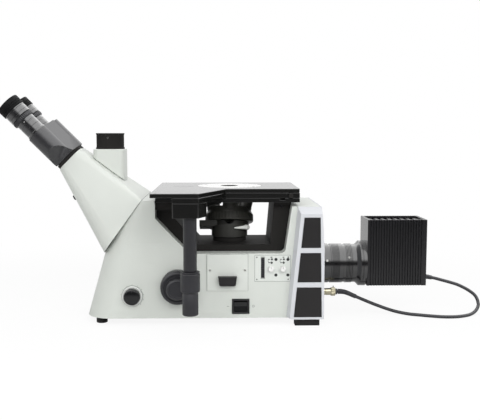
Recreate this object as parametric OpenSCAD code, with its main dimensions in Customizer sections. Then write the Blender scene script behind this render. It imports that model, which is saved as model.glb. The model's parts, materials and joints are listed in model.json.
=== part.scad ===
// Inverted microscope with reflected light, drawn about its optical axis and stood on the bench

/* [Stand] */
// Optical axis to the front edge, at the bottom
base_front = 234; // [225:1:245]
// Optical axis to the rear face, at the bottom
base_rear = 150; // [146:1:160]
// Width across the side faces
base_width = 172; // [166:1:184]
// Gap between the bench and the lower edge
base_lift = 11; // [9:1:14]
// Height of the rear shoulder
shoulder_z = 191.5; // [188:0.5:194]
// Height of the front edge where the stand meets the head
chin_z = 114; // [108:1:120]
// How far the front edge leans back up to the head
chin_setback = 29; // [24:1:36]
// Optical axis to the joint line at the top of the stand
crown_x = 140; // [136:1:144]
// Height of the joint line at the top of the stand
crown_z = 203; // [200:1:206]
// Wall of the painted castings
wall = 4; // [3:0.5:5]
// Radius of the upright front corners
front_corner_r = 42; // [30:1:50]
// Thickness of the bottom plate
bottom_plate_t = 3; // [2:0.5:4]

/* [Rear cover] */
// How far each cheek stands proud of the side
cheek_t = 14; // [10:1:18]
// Optical axis to the cheek's front edge, at the bottom
cheek_x_low = 95; // [90:1:100]
// Optical axis to the cheek's front edge, at the shoulder
cheek_x_high = 112; // [106:1:118]
// Height at which the cheek starts to slope in
cheek_z = 181; // [176:1:184]
// Thickness of the back panel
back_t = 6; // [4:1:8]
// How far the black side panels stand proud
panel_t = 0.8; // [0.4:0.1:1.5]

/* [Stage frame] */
// Optical axis to the outer face of the front arm
frame_front = 119.5; // [117:0.5:122]
// Optical axis to the outer face of the rear arm, at the top
frame_rear = 99.5; // [97:0.5:102]
// Optical axis to the outer face of the rear arm, at the bottom
frame_rear_low = 89; // [86:0.5:92]
// Depth of the frame along Y
frame_depth = 120; // [110:1:130]
// Underside of the frame
frame_low_z = 116.5; // [115:0.5:119]
// Floor of the frame
frame_floor_z = 127; // [125:0.5:129]
// Top of the frame's arms, under the stage
frame_top_z = 197.6; // [196:0.1:199]

/* [Stage] */
// Length of the stage along X
stage_len = 232; // [228:1:240]
// Optical axis to the stage's rear end
stage_rear = 112; // [110:1:116]
// Depth of the stage along Y
stage_depth = 160; // [156:1:168]
// Thickness of the fixed lower plate
stage_base_t = 6.6; // [5:0.1:7]
// Thickness of the middle plate
stage_mid_t = 8.2; // [7:0.1:9]
// Thickness of the top plate
stage_top_t = 6.4; // [5.5:0.1:7.5]
// How far the wing reaches towards the user's right hand
wing_y = 178; // [174:1:184]
// Optical axis to the wing's straight rear corner
wing_x = 48; // [44:1:52]
// Travel each way along X and Y
stage_travel = 15; // [10:1:16]
// Diameter of the round insert
insert_d = 108; // [100:1:110]
// Hole in the insert
insert_hole_d = 30; // [20:1:36]

/* [Stage drive] */
// Width of the drive housing
drive_w = 39; // [36:1:42]
// Depth of the drive housing
drive_depth = 28; // [26:1:34]
// Underside of the drive housing
drive_low_z = 183; // [180:1:188]
// Diameter of the fixed drive sleeve
sleeve_d = 20.4; // [18:0.2:22]
// Lower end of the sleeve
sleeve_low_z = 102; // [98:1:106]
// Diameter of the Y travel knob
y_knob_d = 30.2; // [28:0.2:32]
// Lower end of the Y travel knob
y_knob_low_z = 70.4; // [66:0.2:74]
// Diameter of the X travel knob
x_knob_d = 25.3; // [23:0.1:27]
// Lower end of the X travel knob
x_knob_low_z = 34.5; // [30:0.5:38]

/* [Focus] */
// Optical axis to the focus shaft
focus_x = 84; // [80:1:88]
// Height of the focus shaft
focus_z = 64.5; // [60:0.5:70]
// Diameter of the coarse knob
coarse_d = 55; // [50:1:60]
// Thickness of the coarse knob
coarse_t = 22; // [18:1:26]
// Diameter of the fine knob
fine_d = 34; // [28:1:40]
// Thickness of the fine knob
fine_t = 14; // [10:1:18]
// Pitch radius of the focus pinion
pinion_r = 6; // [5:0.5:7]

/* [Nosepiece] */
// Tilt of the nosepiece axis
turret_tilt = 15; // [12:1:16]
// Radius of the circle of objectives
turret_circle_r = 28; // [27:0.5:30]
// Radius of the knurled ring
turret_r = 41; // [40:0.5:44]
// Height of the working objective's mouth on the nosepiece
turret_z = 184.9; // [182:0.1:188]
// Number of places on the nosepiece
places = 5; // [4:1:5]
// Radius of an objective's body
objective_r = 12; // [11:0.5:13]

/* [Head] */
// Viewing angle of the eyepieces above the horizontal
view_angle = 45; // [40:1:50]
// Optical axis to the middle of the head's flange
flange_x = 264.7; // [260:0.5:270]
// Height of the middle of the head's flange
flange_z = 265.3; // [260:0.5:270]
// Half width of the head at the flange
flange_half_w = 30; // [28:1:34]
// Reach of the flange above and below its middle
flange_half_h = 25; // [24:0.5:27]
// Side of the square column of the photo port
column_w = 52; // [48:1:58]
// Optical axis to the middle of the photo port
port_x = 200.5; // [196:0.5:202]
// Top of the photo port's column
column_z = 282; // [278:1:286]
// Outer diameter of the photo tube
photo_tube_d = 46; // [44:0.5:48]
// Bore of the photo tube
photo_bore_d = 38; // [36:0.5:40]
// Top of the photo tube
photo_tube_z = 308.5; // [304:0.5:312]

/* [Binocular] */
// Distance between the eyepieces as shown
eye_distance = 64; // [60:1:68]
// Distance from the hinge to each eyepiece axis
eye_arm = 38; // [37.5:0.5:39]
// Radius of the housing round each tube
eye_housing_r = 18.3; // [17.5:0.1:19]
// Radius of the housing round the hinge
hinge_housing_r = 13.5; // [12:0.5:14]
// Length of the prism housings
eye_housing_len = 66; // [62:1:70]
// Distance from the flange to the end of the eyecups
eye_reach = 134; // [132:0.2:140]
// Diameter of the eye tubes
eye_tube_d = 32; // [30:0.5:33]
// Diameter of the eyecups
eyecup_d = 40.4; // [38:0.2:42]

/* [Lamp] */
// Height of the lamp's axis
lamp_z = 85.6; // [84:0.2:88]
// Diameter of the lamp tube
lamp_tube_d = 67; // [64:0.5:70]
// Optical axis to the lamphouse
lamp_x = 231.5; // [226:0.5:236]
// Length of the lamphouse
lamp_len = 100.2; // [96:0.2:106]
// Depth of the lamphouse
lamp_depth = 67; // [62:1:72]
// Underside of the lamphouse
lamp_low_z = 52; // [48:1:56]
// Top of the lamphouse
lamp_top_z = 163.7; // [160:0.5:168]
// Pitch of the cooling fins
fin_pitch = 4.5; // [4:0.1:6]
// Depth of the grooves between the fins
fin_depth = 2.2; // [1:0.1:3]

/* [Hidden] */

// How much smooth round shapes are divided
$fn = 64;
// Gap between faces that meet without being fastened
gap = 0.3;
// Running clearance of a shaft in its bore
run = 0.05;
// Overlap of a cut past the face that it opens
over = 1;
// Half width of the stand
half_w = base_width / 2;
// Outer half width over the cheeks
cheek_y = half_w + cheek_t;

// Axis directions of the head: "up the tubes" and "across the flange, upwards"
flange_tilt = 90 - view_angle;

// Paint and finish colours
white_paint = [0.87, 0.89, 0.87];
cover_white = [0.88, 0.89, 0.92];
satin_black = [0.16, 0.16, 0.16];
panel_black = [0.19, 0.18, 0.19];
knob_black = [0.26, 0.26, 0.28];
rubber_black = [0.13, 0.13, 0.14];
bright_metal = [0.78, 0.78, 0.76];
brass = [0.76, 0.66, 0.38];
glass_tint = [0.75, 0.85, 0.88, 0.6];

// Points along an arc, from angle a0 to a1
function arc(cx, cy, r, a0, a1, n = 6) =
    [for (i = [0 : n]) let (a = a0 + (a1 - a0) * i / n) [cx + r * cos(a), cy + r * sin(a)]];

// Corners of a rectangle with rounded corners
function rounded_rect(x0, y0, x1, y1, r, n = 6) = concat(
    arc(x1 - r, y0 + r, r, -90, 0, n),
    arc(x1 - r, y1 - r, r, 0, 90, n),
    arc(x0 + r, y1 - r, r, 90, 180, n),
    arc(x0 + r, y0 + r, r, 180, 270, n));

// Extrudes an outline in X and Z between two depths
module along_y(y0, y1) {
    translate([0, y1, 0])
        rotate([90, 0, 0])
            linear_extrude(y1 - y0)
                children();
}

// Extrudes an outline in Y and Z between two places along X
module along_x(x0, x1) {
    translate([x0, 0, 0])
        rotate([90, 0, 90])
            linear_extrude(x1 - x0)
                children();
}

// A round bar along X
module bar_x(r, x0, x1, y, z) {
    translate([x0, y, z])
        rotate([0, 90, 0])
            cylinder(r = r, h = x1 - x0);
}

// A round bar along Y
module bar_y(r, y0, y1, x, z) {
    translate([x, y1, z])
        rotate([90, 0, 0])
            cylinder(r = r, h = y1 - y0);
}

// A box between two corners
module block(a, b) {
    translate(a)
        cube(b - a);
}

// Draws its children once on each side of the middle plane
module both_sides() {
    children();
    mirror([0, 1, 0])
        children();
}

// Puts children in the head's frame: X across the flange, Z up the tubes
module at_flange() {
    translate([-flange_x, 0, flange_z])
        rotate([0, -flange_tilt, 0])
            children();
}

// Puts children on the nosepiece axis, with Z along it and the mouth plane at 0
turret_apex_z = turret_z - turret_circle_r / sin(turret_tilt);
turret_reach = turret_circle_r / tan(turret_tilt);
module at_turret() {
    translate([0, 0, turret_apex_z])
        rotate([-turret_tilt, 0, 0])
            translate([0, 0, turret_reach])
                children();
}

// Stand

// The seam between the stand and the head
seam_low = [-(base_front - chin_setback), chin_z];
seam_high = [-crown_x, crown_z];
seam_run = seam_high - seam_low;
seam_len = norm(seam_run);
seam_angle = atan2(seam_run[1], seam_run[0]);
front_lean = atan2(chin_setback, chin_z - base_lift);
// Corner of the frame where the front arm starts to slope
knee_z = 173;
// Foot of the sloping stretch of the front arm
shin_x = 66;
frame_corner_r = 8;
// The front strip of the stand beside the frame
strip_z = crown_z - 1.5;

// Outer outline of the stage frame, grown by g
function frame_outline(g) = let (k = g * tan(22.5)) concat(
    [[-frame_front - g, frame_top_z], [-frame_front - g, knee_z - k]],
    [[-shin_x - k, frame_low_z - g]],
    arc(frame_rear_low - frame_corner_r, frame_low_z + frame_corner_r, frame_corner_r + g, -90, 0),
    [[frame_rear + g, frame_top_z]]);

module stand_outline() {
    difference() {
        polygon([
            [-base_front, base_lift],
            seam_low,
            seam_high,
            [-crown_x + 3, strip_z],
            [-stage_front, strip_z],
            [frame_rear, shoulder_z],
            [base_rear - back_t - gap, shoulder_z],
            [base_rear - back_t - gap, base_lift],
        ]);
        polygon(frame_outline(gap));
        translate([-stage_front - gap, frame_top_z - over])
            square([stage_front + frame_rear + 2 * gap, over + 10]);
    }
}

// Plan of the stand with rounded front corners, drawn along the leaning front edge
module stand_plan(inset) {
    length = base_front + base_rear + 80;
    r = front_corner_r - inset;
    w = half_w - inset;
    polygon(concat(
        arc(inset + r, -w + r, r, 180, 270, 10),
        [[length, -w], [length, w]],
        arc(inset + r, w - r, r, 90, 180, 10)));
}

// The plan pushed up along the leaning front edge
module lean_prism(inset) {
    translate([-base_front, 0, base_lift])
        rotate([0, front_lean, 0])
            translate([0, 0, -100])
                linear_extrude(400)
                    stand_plan(inset);
}

module stand_form(inset) {
    intersection() {
        along_y(-half_w + inset, half_w - inset)
            if (inset == 0)
                stand_outline();
            else
                offset(delta = -inset)
                    stand_outline();
        lean_prism(inset);
    }
}

module_w = 65.6;
module_x = -4.5;
module_low_z = 56;
module_high_z = frame_low_z - 1.5;
module_recess = 1.2;
panel_x0 = 39.7;
panel_x1 = 96.4;
panel_z0 = 71;
panel_z1 = 113;
switch_x = 16.8;
switch_z = 30.2;
switch_w = 28.3;
switch_h = 24.8;
dimmer_x = -157.5;
dimmer_z = 47.6;
dimmer_r = 16.5;
bush_r = 12;
collar_bore_r = 25 + run;
collar_r = 28;
lamp_bore_r = 24;
inlet_y = 45;
inlet_z = 36;
inlet_w = 27.5;
inlet_h = 20;
socket_y = -20;
socket_z = 39.7;
selector_x = 256.5;
selector_z = 203;
selector_tilt = -30;

module stand_housing() {
    color(white_paint)
        difference() {
            stand_form(0);
            stand_form(wall);
            // open bottom for the plate
            intersection() {
                block([-base_front + 22, -half_w + wall, base_lift - over],
                    [base_rear - back_t - gap - wall, half_w - wall, base_lift + wall + over]);
                lean_prism(wall);
            }
            // light way up into the head
            translate([seam_low[0], 0, seam_low[1]])
                rotate([0, -seam_angle, 0])
                    translate([seam_len / 2, 0, -15])
                        cylinder(r = 30, h = 30);
            // focus bushes on both sides
            bar_y(bush_r, -half_w - over, half_w + over, -focus_x, focus_z);
            // sleeve of the nosepiece guide
            translate([0, 0, frame_low_z - 12])
                cylinder(r = collar_r + gap, h = 20);
            // module opening, control panel seat, switch and dimmer on the user's right side
            block([module_x - module_w / 2 + 6, -half_w - over, module_low_z + 6],
                [module_x + module_w / 2 - 6, -half_w + wall + over, module_high_z - 8]);
            block([panel_x0 - gap, -half_w - over, panel_z0 - gap],
                [panel_x1 + gap, -half_w + 2, panel_z1 + gap]);
            block([panel_x0 + 6, -half_w - over, panel_z0 + 4],
                [panel_x1 - 4, -half_w + wall + over, panel_z1 - 4]);
            block([switch_x - switch_w / 2 + 2, -half_w - over, switch_z - switch_h / 2 + 2],
                [switch_x + switch_w / 2 - 2, -half_w + wall + over, switch_z + switch_h / 2 - 2]);
            bar_y(9, -half_w - over, -half_w + wall + over, dimmer_x, dimmer_z);
            // lamp way, inlet and lamp socket at the back
            bar_x(lamp_bore_r, base_rear - back_t - wall - 2, base_rear, 0, lamp_z);
            block([base_rear - back_t - wall - 2, inlet_y - inlet_w / 2, inlet_z - inlet_h / 2],
                [base_rear, inlet_y + inlet_w / 2, inlet_z + inlet_h / 2]);
            bar_x(7, base_rear - back_t - wall - 2, base_rear, socket_y, socket_z);
        }
}

module bottom_plate() {
    color(satin_black)
        intersection() {
            block([-base_front + 24, -half_w + wall + gap, base_lift],
                [base_rear - back_t - gap - wall - gap, half_w - wall - gap, base_lift + bottom_plate_t]);
            lean_prism(wall + gap);
        }
}

front_foot_x = -210;
front_foot_y = 62;
front_foot_r = 9;
rear_foot_x0 = 103.5;
rear_foot_x1 = 143.5;
module feet() {
    color(rubber_black)
        both_sides() {
            translate([front_foot_x, -front_foot_y, 0])
                cylinder(r = front_foot_r, h = base_lift);
            translate([rear_foot_x0, -cheek_y + 4, 0])
                cube([rear_foot_x1 - rear_foot_x0, 16, base_lift]);
        }
}

// Rear cover

// The back leans forward above this height
back_bend_z = 125;
cheek_blend = 4;
// Outline of a cheek, grown forwards by f where it blends into the side
function cheek_outline(f, top) = concat(
    arc(cheek_x_low - f + 4, base_lift + 4, 4, 180, 270, 4),
    arc(base_rear - 4, base_lift + 4, 4, 270, 360, 4),
    [[base_rear, back_bend_z], [base_rear - 3.5, top]],
    [[cheek_x_high - f, top]]);

module rear_cover() {
    color(cover_white)
        difference() {
            union() {
                both_sides()
                    hull() {
                        along_y(-cheek_y, -cheek_y + 1)
                            polygon(cheek_outline(0, cheek_z));
                        along_y(-half_w - gap - 0.5, -half_w - gap)
                            polygon(cheek_outline(cheek_blend, shoulder_z));
                    }
                along_y(-cheek_y + 1, cheek_y - 1)
                    polygon([
                        [base_rear - back_t, base_lift],
                        [base_rear, base_lift],
                        [base_rear, back_bend_z],
                        [base_rear - 3.5, cheek_z],
                        [base_rear - back_t, cheek_z],
                    ]);
                along_y(-half_w - gap - 0.5, half_w + gap + 0.5)
                    polygon([
                        [base_rear - back_t, cheek_z - over],
                        [base_rear - 3.5, cheek_z - over],
                        [base_rear - 3.5, shoulder_z],
                        [base_rear - back_t, shoulder_z],
                    ]);
            }
            bar_x(lamp_bore_r, base_rear - back_t - over, base_rear + over, 0, lamp_z);
            block([base_rear - back_t - over, inlet_y - inlet_w / 2, inlet_z - inlet_h / 2],
                [base_rear + over, inlet_y + inlet_w / 2, inlet_z + inlet_h / 2]);
            bar_x(7, base_rear - back_t - over, base_rear + over, socket_y, socket_z);
        }
}

panel_rows = [[15, 63.3], [71.6, 118.8], [126.9, 175.4]];
panel_margin = 6;
module side_panels() {
    // front and rear edges follow the cheek's slope
    slope_f = (cheek_x_high - cheek_x_low) / (cheek_z - base_lift);
    slope_r = 3.5 / (cheek_z - base_lift);
    color(panel_black)
        both_sides()
            for (row = panel_rows)
                along_y(-cheek_y - panel_t, -cheek_y)
                    polygon([
                        [cheek_x_low + panel_margin + slope_f * (row[0] - base_lift), row[0]],
                        [base_rear - panel_margin + 2.5 - slope_r * (row[0] - base_lift), row[0]],
                        [base_rear - panel_margin + 2.5 - slope_r * (row[1] - base_lift), row[1]],
                        [cheek_x_low + panel_margin + slope_f * (row[1] - base_lift), row[1]],
                    ]);
}

module mains_inlet() {
    color(satin_black)
        difference() {
            union() {
                block([base_rear - back_t - 18, inlet_y - inlet_w / 2 + gap, inlet_z - inlet_h / 2 + gap],
                    [base_rear + 1, inlet_y + inlet_w / 2 - gap, inlet_z + inlet_h / 2 - gap]);
                block([base_rear + gap, inlet_y - inlet_w / 2 - 10, inlet_z - inlet_h / 2 - 1.5],
                    [base_rear + 2.5, inlet_y + inlet_w / 2 + 10, inlet_z + inlet_h / 2 + 1.5]);
            }
            block([base_rear - 12, inlet_y - 11.8, inlet_z - 7.8],
                [base_rear + 2.5 + over, inlet_y + 11.8, inlet_z + 7.8]);
        }
}

// Stage frame and stage

arm_front_in = 89.5;
floor_front = 52;
floor_rear = 66;
arm_rear_in = 72;
head_block_z = 186;
module stage_frame() {
    color(satin_black)
        difference() {
            union() {
                along_y(-frame_depth / 2, frame_depth / 2)
                    difference() {
                        polygon(frame_outline(0));
                        polygon([
                            [-arm_front_in, frame_top_z + over],
                            [-arm_front_in, 170],
                            [-floor_front, frame_floor_z],
                            [floor_rear, frame_floor_z],
                            [arm_rear_in, frame_top_z + over],
                        ]);
                    }
                // pads that carry the stage
                block([-frame_front, -stage_depth / 2 + 2, head_block_z],
                    [-arm_front_in, stage_depth / 2 - 2, frame_top_z]);
                block([arm_rear_in - 0.7, -stage_depth / 2 + 8, frame_top_z - 4],
                    [frame_rear - 0.8, stage_depth / 2 - 8, frame_top_z]);
            }
            translate([0, 0, frame_low_z - over])
                cylinder(r = collar_r + 0.1, h = frame_floor_z - frame_low_z + 2 * over);
        }
}

base_z0 = frame_top_z + gap;
base_z1 = base_z0 + stage_base_t;
mid_z0 = base_z1 + gap;
mid_z1 = mid_z0 + stage_mid_t;
top_z0 = mid_z1 + gap;
stage_z = top_z0 + stage_top_t;
stage_front = stage_len - stage_rear;
stage_y = stage_depth / 2;
neck_x = 6.7;
opening_x = 56;

module stage_base() {
    color(satin_black)
        difference() {
            block([-stage_front, -stage_y, base_z0], [stage_rear, stage_y, base_z1]);
            block([-opening_x, -38, base_z0 - over], [opening_x, stage_y - 6, base_z1 + over]);
            // slots in which the carriage's guides run
            for (x = [-1, 1])
                block([x * 84 - 4, -stage_y - over, base_z1 - 3], [x * 84 + 4, stage_y + over, base_z1 + over]);
        }
}

module wing_outline(front, near_x) {
    polygon([
        [-front, stage_y],
        [stage_rear, stage_y],
        [stage_rear, -stage_y],
        [-neck_x, -stage_y],
        [-wing_x, -wing_y],
        [-near_x, -wing_y],
        [-near_x, -stage_y],
        [-front, -stage_y],
    ]);
}

drive_x0 = -wing_x - drive_w;
module stage_carriage() {
    color(satin_black)
        difference() {
            union() {
                translate([0, 0, mid_z0])
                    linear_extrude(stage_mid_t)
                        wing_outline(stage_front, -drive_x0);
                // skirt under the slanted side, clear of the fixed plate over the travel
                translate([0, 0, base_z0])
                    linear_extrude(stage_base_t + gap)
                        polygon([
                            [drive_x0, -wing_y + drive_depth],
                            [drive_x0, -stage_y - stage_travel - 2],
                            [-neck_x - (stage_travel + 2) * (wing_x - neck_x) / (wing_y - stage_y),
                                -stage_y - stage_travel - 2],
                            [-wing_x + drive_depth * (wing_x - neck_x) / (wing_y - stage_y),
                                -wing_y + drive_depth],
                        ]);
                // guides that run in the fixed plate
                for (x = [-1, 1])
                    block([x * 84 - 3.7, -stage_y + stage_travel, base_z1 - 2.6],
                        [x * 84 + 3.7, stage_y - stage_travel, mid_z0 + over]);
            }
            block([-opening_x, -42, mid_z0 - over], [opening_x, stage_y - 10, mid_z1 + over]);
            // seat of the drive cluster
            translate([-sleeve_x, -sleeve_y, base_z0 - over])
                cylinder(r = 9.5, h = mid_z0 - base_z0 + over + 2);
        }
}

module stage_top() {
    color(satin_black)
        difference() {
            translate([0, 0, top_z0])
                linear_extrude(stage_top_t)
                    polygon(concat(
                        arc(-stage_front + 3, stage_y - 3, 3, 180, 90, 4),
                        arc(stage_rear - 3, stage_y - 3, 3, 90, 0, 4),
                        arc(stage_rear - 3, -stage_y + 3, 3, 0, -90, 4),
                        [[-neck_x, -stage_y]],
                        arc(-wing_x - 2, -wing_y + 2, 2, -30, -90, 3),
                        arc(-stage_front + 3, -wing_y + 3, 3, -90, -180, 4)));
            translate([0, 0, top_z0 - over])
                cylinder(r = insert_d / 2 - 2, h = stage_top_t + 2 * over);
            translate([0, 0, stage_z - 3])
                cylinder(r = insert_d / 2 + 0.2, h = 3 + over);
        }
}

module stage_insert() {
    color(bright_metal)
        translate([0, 0, stage_z - 3])
            rotate_extrude()
                polygon([
                    [insert_hole_d / 2 + 2, 0],
                    [insert_d / 2, 0],
                    [insert_d / 2, 3],
                    [insert_hole_d / 2, 3],
                    [insert_hole_d / 2, 2],
                ]);
}

module stage_lock_screw() {
    color(satin_black)
        bar_y(3.6, -stage_y - 5, -stage_y, 97.5, (mid_z0 + mid_z1) / 2);
}

// Stage drive

sleeve_x = 61.4;
sleeve_y = wing_y - 15;
tube_r = 6.5;
shaft_r = 3.5;
module drive_housing() {
    skew = (wing_x - neck_x) / (wing_y - stage_y);
    color(satin_black)
        difference() {
            translate([0, 0, drive_low_z])
                linear_extrude(mid_z0 - drive_low_z)
                    polygon([
                        [drive_x0, -wing_y + 1.5],
                        [drive_x0 + 1.5, -wing_y],
                        [-wing_x - 1.5, -wing_y],
                        [-wing_x, -wing_y + 1.5],
                        [-wing_x + skew * (drive_depth - gap), -wing_y + drive_depth - gap],
                        [drive_x0, -wing_y + drive_depth - gap],
                    ]);
            // bore for the sleeve, and a pocket for the drums
            translate([-sleeve_x, -sleeve_y, drive_low_z - over])
                cylinder(r = tube_r + run + 0.6, h = 12);
            translate([-sleeve_x, -sleeve_y, drive_low_z + 4])
                cylinder(r = 10.5, h = mid_z0 - drive_low_z);
        }
}

module drive_sleeve() {
    color(knob_black)
        translate([-sleeve_x, -sleeve_y, sleeve_low_z])
            difference() {
                cylinder(r = sleeve_d / 2, h = drive_low_z - sleeve_low_z);
                translate([0, 0, -over])
                    cylinder(r = tube_r + run, h = drive_low_z - sleeve_low_z + 2 * over);
            }
}

// A drive knob on its shaft, with a drum at the top
module drive_knob(knob_r, z0, z1, stem_r, drum_z0, drum_z1, drum_r) {
    translate([-sleeve_x, -sleeve_y, 0]) {
        rotate_extrude()
            polygon([
                [0, z0],
                [knob_r - 1, z0],
                [knob_r, z0 + 1],
                [knob_r, z1 - 1],
                [knob_r - 1, z1],
                [stem_r, z1],
                [stem_r, drum_z0],
                [drum_r, drum_z0],
                [drum_r, drum_z1],
                [0, drum_z1],
            ]);
        // ribs of the grip
        for (i = [0 : 23])
            rotate([0, 0, i * 15])
                translate([knob_r - 0.4, -0.6, z0 + 3])
                    cube([0.9, 1.2, z1 - z0 - 6]);
    }
}

module y_knob() {
    color(knob_black)
        difference() {
            drive_knob(y_knob_d / 2 - 0.5, y_knob_low_z + gap, sleeve_low_z - gap, tube_r,
                drive_low_z + 4.5, drive_low_z + 9, 9.2);
            translate([-sleeve_x, -sleeve_y, y_knob_low_z - over])
                cylinder(r = shaft_r + run, h = 200);
        }
}

module x_knob() {
    color(knob_black)
        drive_knob(x_knob_d / 2 - 0.5, x_knob_low_z, y_knob_low_z, shaft_r,
            drive_low_z + 9.5, drive_low_z + 14, 8.8);
}

// Focus

coarse_shaft_r = 4.2;
fine_shaft_r = 2.5;
module focus_bushes() {
    color(bright_metal)
        both_sides()
            difference() {
                bar_y(bush_r - 0.1, -half_w - 1.5, -half_w + wall + 8, -focus_x, focus_z);
                bar_y(coarse_shaft_r + run, -half_w - 3, -half_w + wall + 10, -focus_x, focus_z);
            }
}

// A ribbed wheel on the near side, from its outer face to its inner face
module focus_wheel(r, y0, y1, ribs, rib_w) {
    translate([-focus_x, y1, focus_z])
        rotate([90, 0, 0]) {
            rotate_extrude()
                polygon([
                    [0, 0],
                    [r - 1, 0],
                    [r, 1.5],
                    [r, y1 - y0 - 2.5],
                    [r - 2.5, y1 - y0],
                    [0, y1 - y0],
                ]);
            for (i = [0 : ribs - 1])
                rotate([0, 0, i * 360 / ribs])
                    translate([r - 0.5, -rib_w / 2, 2.5])
                        cube([1.2, rib_w, y1 - y0 - 6]);
        }
}

coarse_y0 = half_w + 1.5 + gap;
coarse_y1 = coarse_y0 + coarse_t;
fine_y0 = coarse_y1 + gap;
fine_y1 = fine_y0 + fine_t;
module coarse_knobs() {
    color(knob_black)
        difference() {
            union() {
                both_sides()
                    focus_wheel(coarse_d / 2 - 0.7, -coarse_y1, -coarse_y0, 36, 1.8);
                bar_y(coarse_shaft_r, -coarse_y0 - over, coarse_y0 + over, -focus_x, focus_z);
            }
            bar_y(fine_shaft_r + run, -coarse_y1 - over, coarse_y1 + over, -focus_x, focus_z);
        }
}

module fine_knobs() {
    color(knob_black) {
        both_sides()
            focus_wheel(fine_d / 2 - 0.7, -fine_y1, -fine_y0, 24, 1.6);
        bar_y(fine_shaft_r, -fine_y0 - over, fine_y0 + over, -focus_x, focus_z);
    }
}

// Teeth of a pinion and its rack share this pitch
teeth = 12;
tooth_pitch = 2 * PI * pinion_r / teeth;
tooth_out = 0.9;
tooth_in = 1.2;
module focus_pinion() {
    tip_w = tooth_pitch * 0.2;
    root_w = tooth_pitch * 0.56;
    color(brass)
        translate([-focus_x, 5, focus_z])
            rotate([90, 0, 0])
                difference() {
                    union() {
                        cylinder(r = pinion_r - tooth_in, h = 10);
                        for (i = [0 : teeth - 1])
                            rotate([0, 0, i * 360 / teeth])
                                linear_extrude(10)
                                    polygon([
                                        [pinion_r - tooth_in - 0.4, -root_w / 2],
                                        [pinion_r + tooth_out, -tip_w / 2],
                                        [pinion_r + tooth_out, tip_w / 2],
                                        [pinion_r - tooth_in - 0.4, root_w / 2],
                                    ]);
                    }
                    translate([0, 0, -over])
                        cylinder(r = coarse_shaft_r + run, h = 12);
                }
}

// Nosepiece and its guide

collar_top_z = frame_floor_z + 7;
carriage_top_z = collar_top_z + 7.5;
skirt_low_z = collar_top_z + 0.6;
module guide_collar() {
    color(satin_black)
        translate([0, 0, frame_low_z - 8])
            difference() {
                rotate_extrude()
                    polygon([
                        [0, 0],
                        [collar_r, 0],
                        [collar_r, collar_top_z - frame_low_z + 7.3],
                        [collar_r - 0.7, collar_top_z - frame_low_z + 8],
                        [0, collar_top_z - frame_low_z + 8],
                    ]);
                translate([0, 0, -over])
                    cylinder(r = collar_bore_r, h = 60);
            }
}

carriage_low_z = 101;
rack_x = -focus_x + pinion_r;
base_plane = -25.5;
base_plate_t = 10;
module nosepiece_carriage() {
    color(bright_metal)
        difference() {
            union() {
                translate([0, 0, carriage_low_z])
                    cylinder(r = collar_bore_r - run, h = carriage_top_z - carriage_low_z);
                block([rack_x + tooth_in + 5, -7, carriage_low_z], [-20, 7, carriage_low_z + 5]);
                block([rack_x + tooth_in, -5, focus_z - 16], [rack_x + tooth_in + 6, 5, carriage_low_z + 5]);
                // teeth of the rack
                for (i = [-4 : 4])
                    along_y(-5, 5)
                        polygon([
                            [rack_x + tooth_in + 0.5, focus_z + (i + 0.5) * tooth_pitch - tooth_pitch * 0.28],
                            [rack_x - tooth_out, focus_z + (i + 0.5) * tooth_pitch - tooth_pitch * 0.1],
                            [rack_x - tooth_out, focus_z + (i + 0.5) * tooth_pitch + tooth_pitch * 0.1],
                            [rack_x + tooth_in + 0.5, focus_z + (i + 0.5) * tooth_pitch + tooth_pitch * 0.28],
                        ]);
            }
            translate([0, 0, carriage_low_z - over])
                cylinder(r = 17, h = 60);
        }
}

module nosepiece_base() {
    color(satin_black)
        difference() {
            union() {
                at_turret()
                    translate([0, 0, base_plane - base_plate_t])
                        linear_extrude(base_plate_t) {
                            circle(r = 34);
                            translate([-51, -36])
                                square([30, 40]);
                        }
                // skirt that slides down over the collar
                intersection() {
                    translate([0, 0, skirt_low_z])
                        cylinder(r = 30.5, h = 50);
                    at_turret()
                        translate([0, 0, base_plane - base_plate_t - 30 + over])
                            cylinder(r = 60, h = 30);
                }
            }
            translate([0, 0, skirt_low_z - over])
                cylinder(r = collar_r + gap, h = carriage_top_z - skirt_low_z + over);
            translate([0, 0, collar_top_z])
                cylinder(r = 14, h = 60);
        }
}

mouth_depth = 10;
thread_r = 10.1;
turret_low = -24.5;
ring_t = 15;
// Places children at the mouth of place i, with Z along that objective's axis
module at_place(i) {
    at_turret()
        rotate([0, 0, 90 + i * 360 / places])
            translate([-turret_circle_r, 0, 0])
                rotate([0, -turret_tilt, 0])
                    children();
}

module turret() {
    color(satin_black)
        difference() {
            at_turret() {
                rotate_extrude()
                    polygon([
                        [0, turret_low],
                        [turret_r - 1, turret_low],
                        [turret_r, turret_low + 1],
                        [turret_r, turret_low + ring_t - 1],
                        [turret_r - 1, turret_low + ring_t],
                        [36, 0],
                        [0, 0],
                    ]);
                for (i = [0 : 47])
                    rotate([0, 0, i * 360 / 48])
                        translate([turret_r - 0.4, -1, turret_low + 2])
                            cube([1, 2, ring_t - 4]);
            }
            for (i = [0 : places - 1])
                at_place(i) {
                    translate([0, 0, -mouth_depth])
                        cylinder(r = objective_r + 0.3, h = mouth_depth + 12);
                    translate([0, 0, -40])
                        cylinder(r = thread_r + 0.1, h = 40);
                }
        }
}

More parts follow.
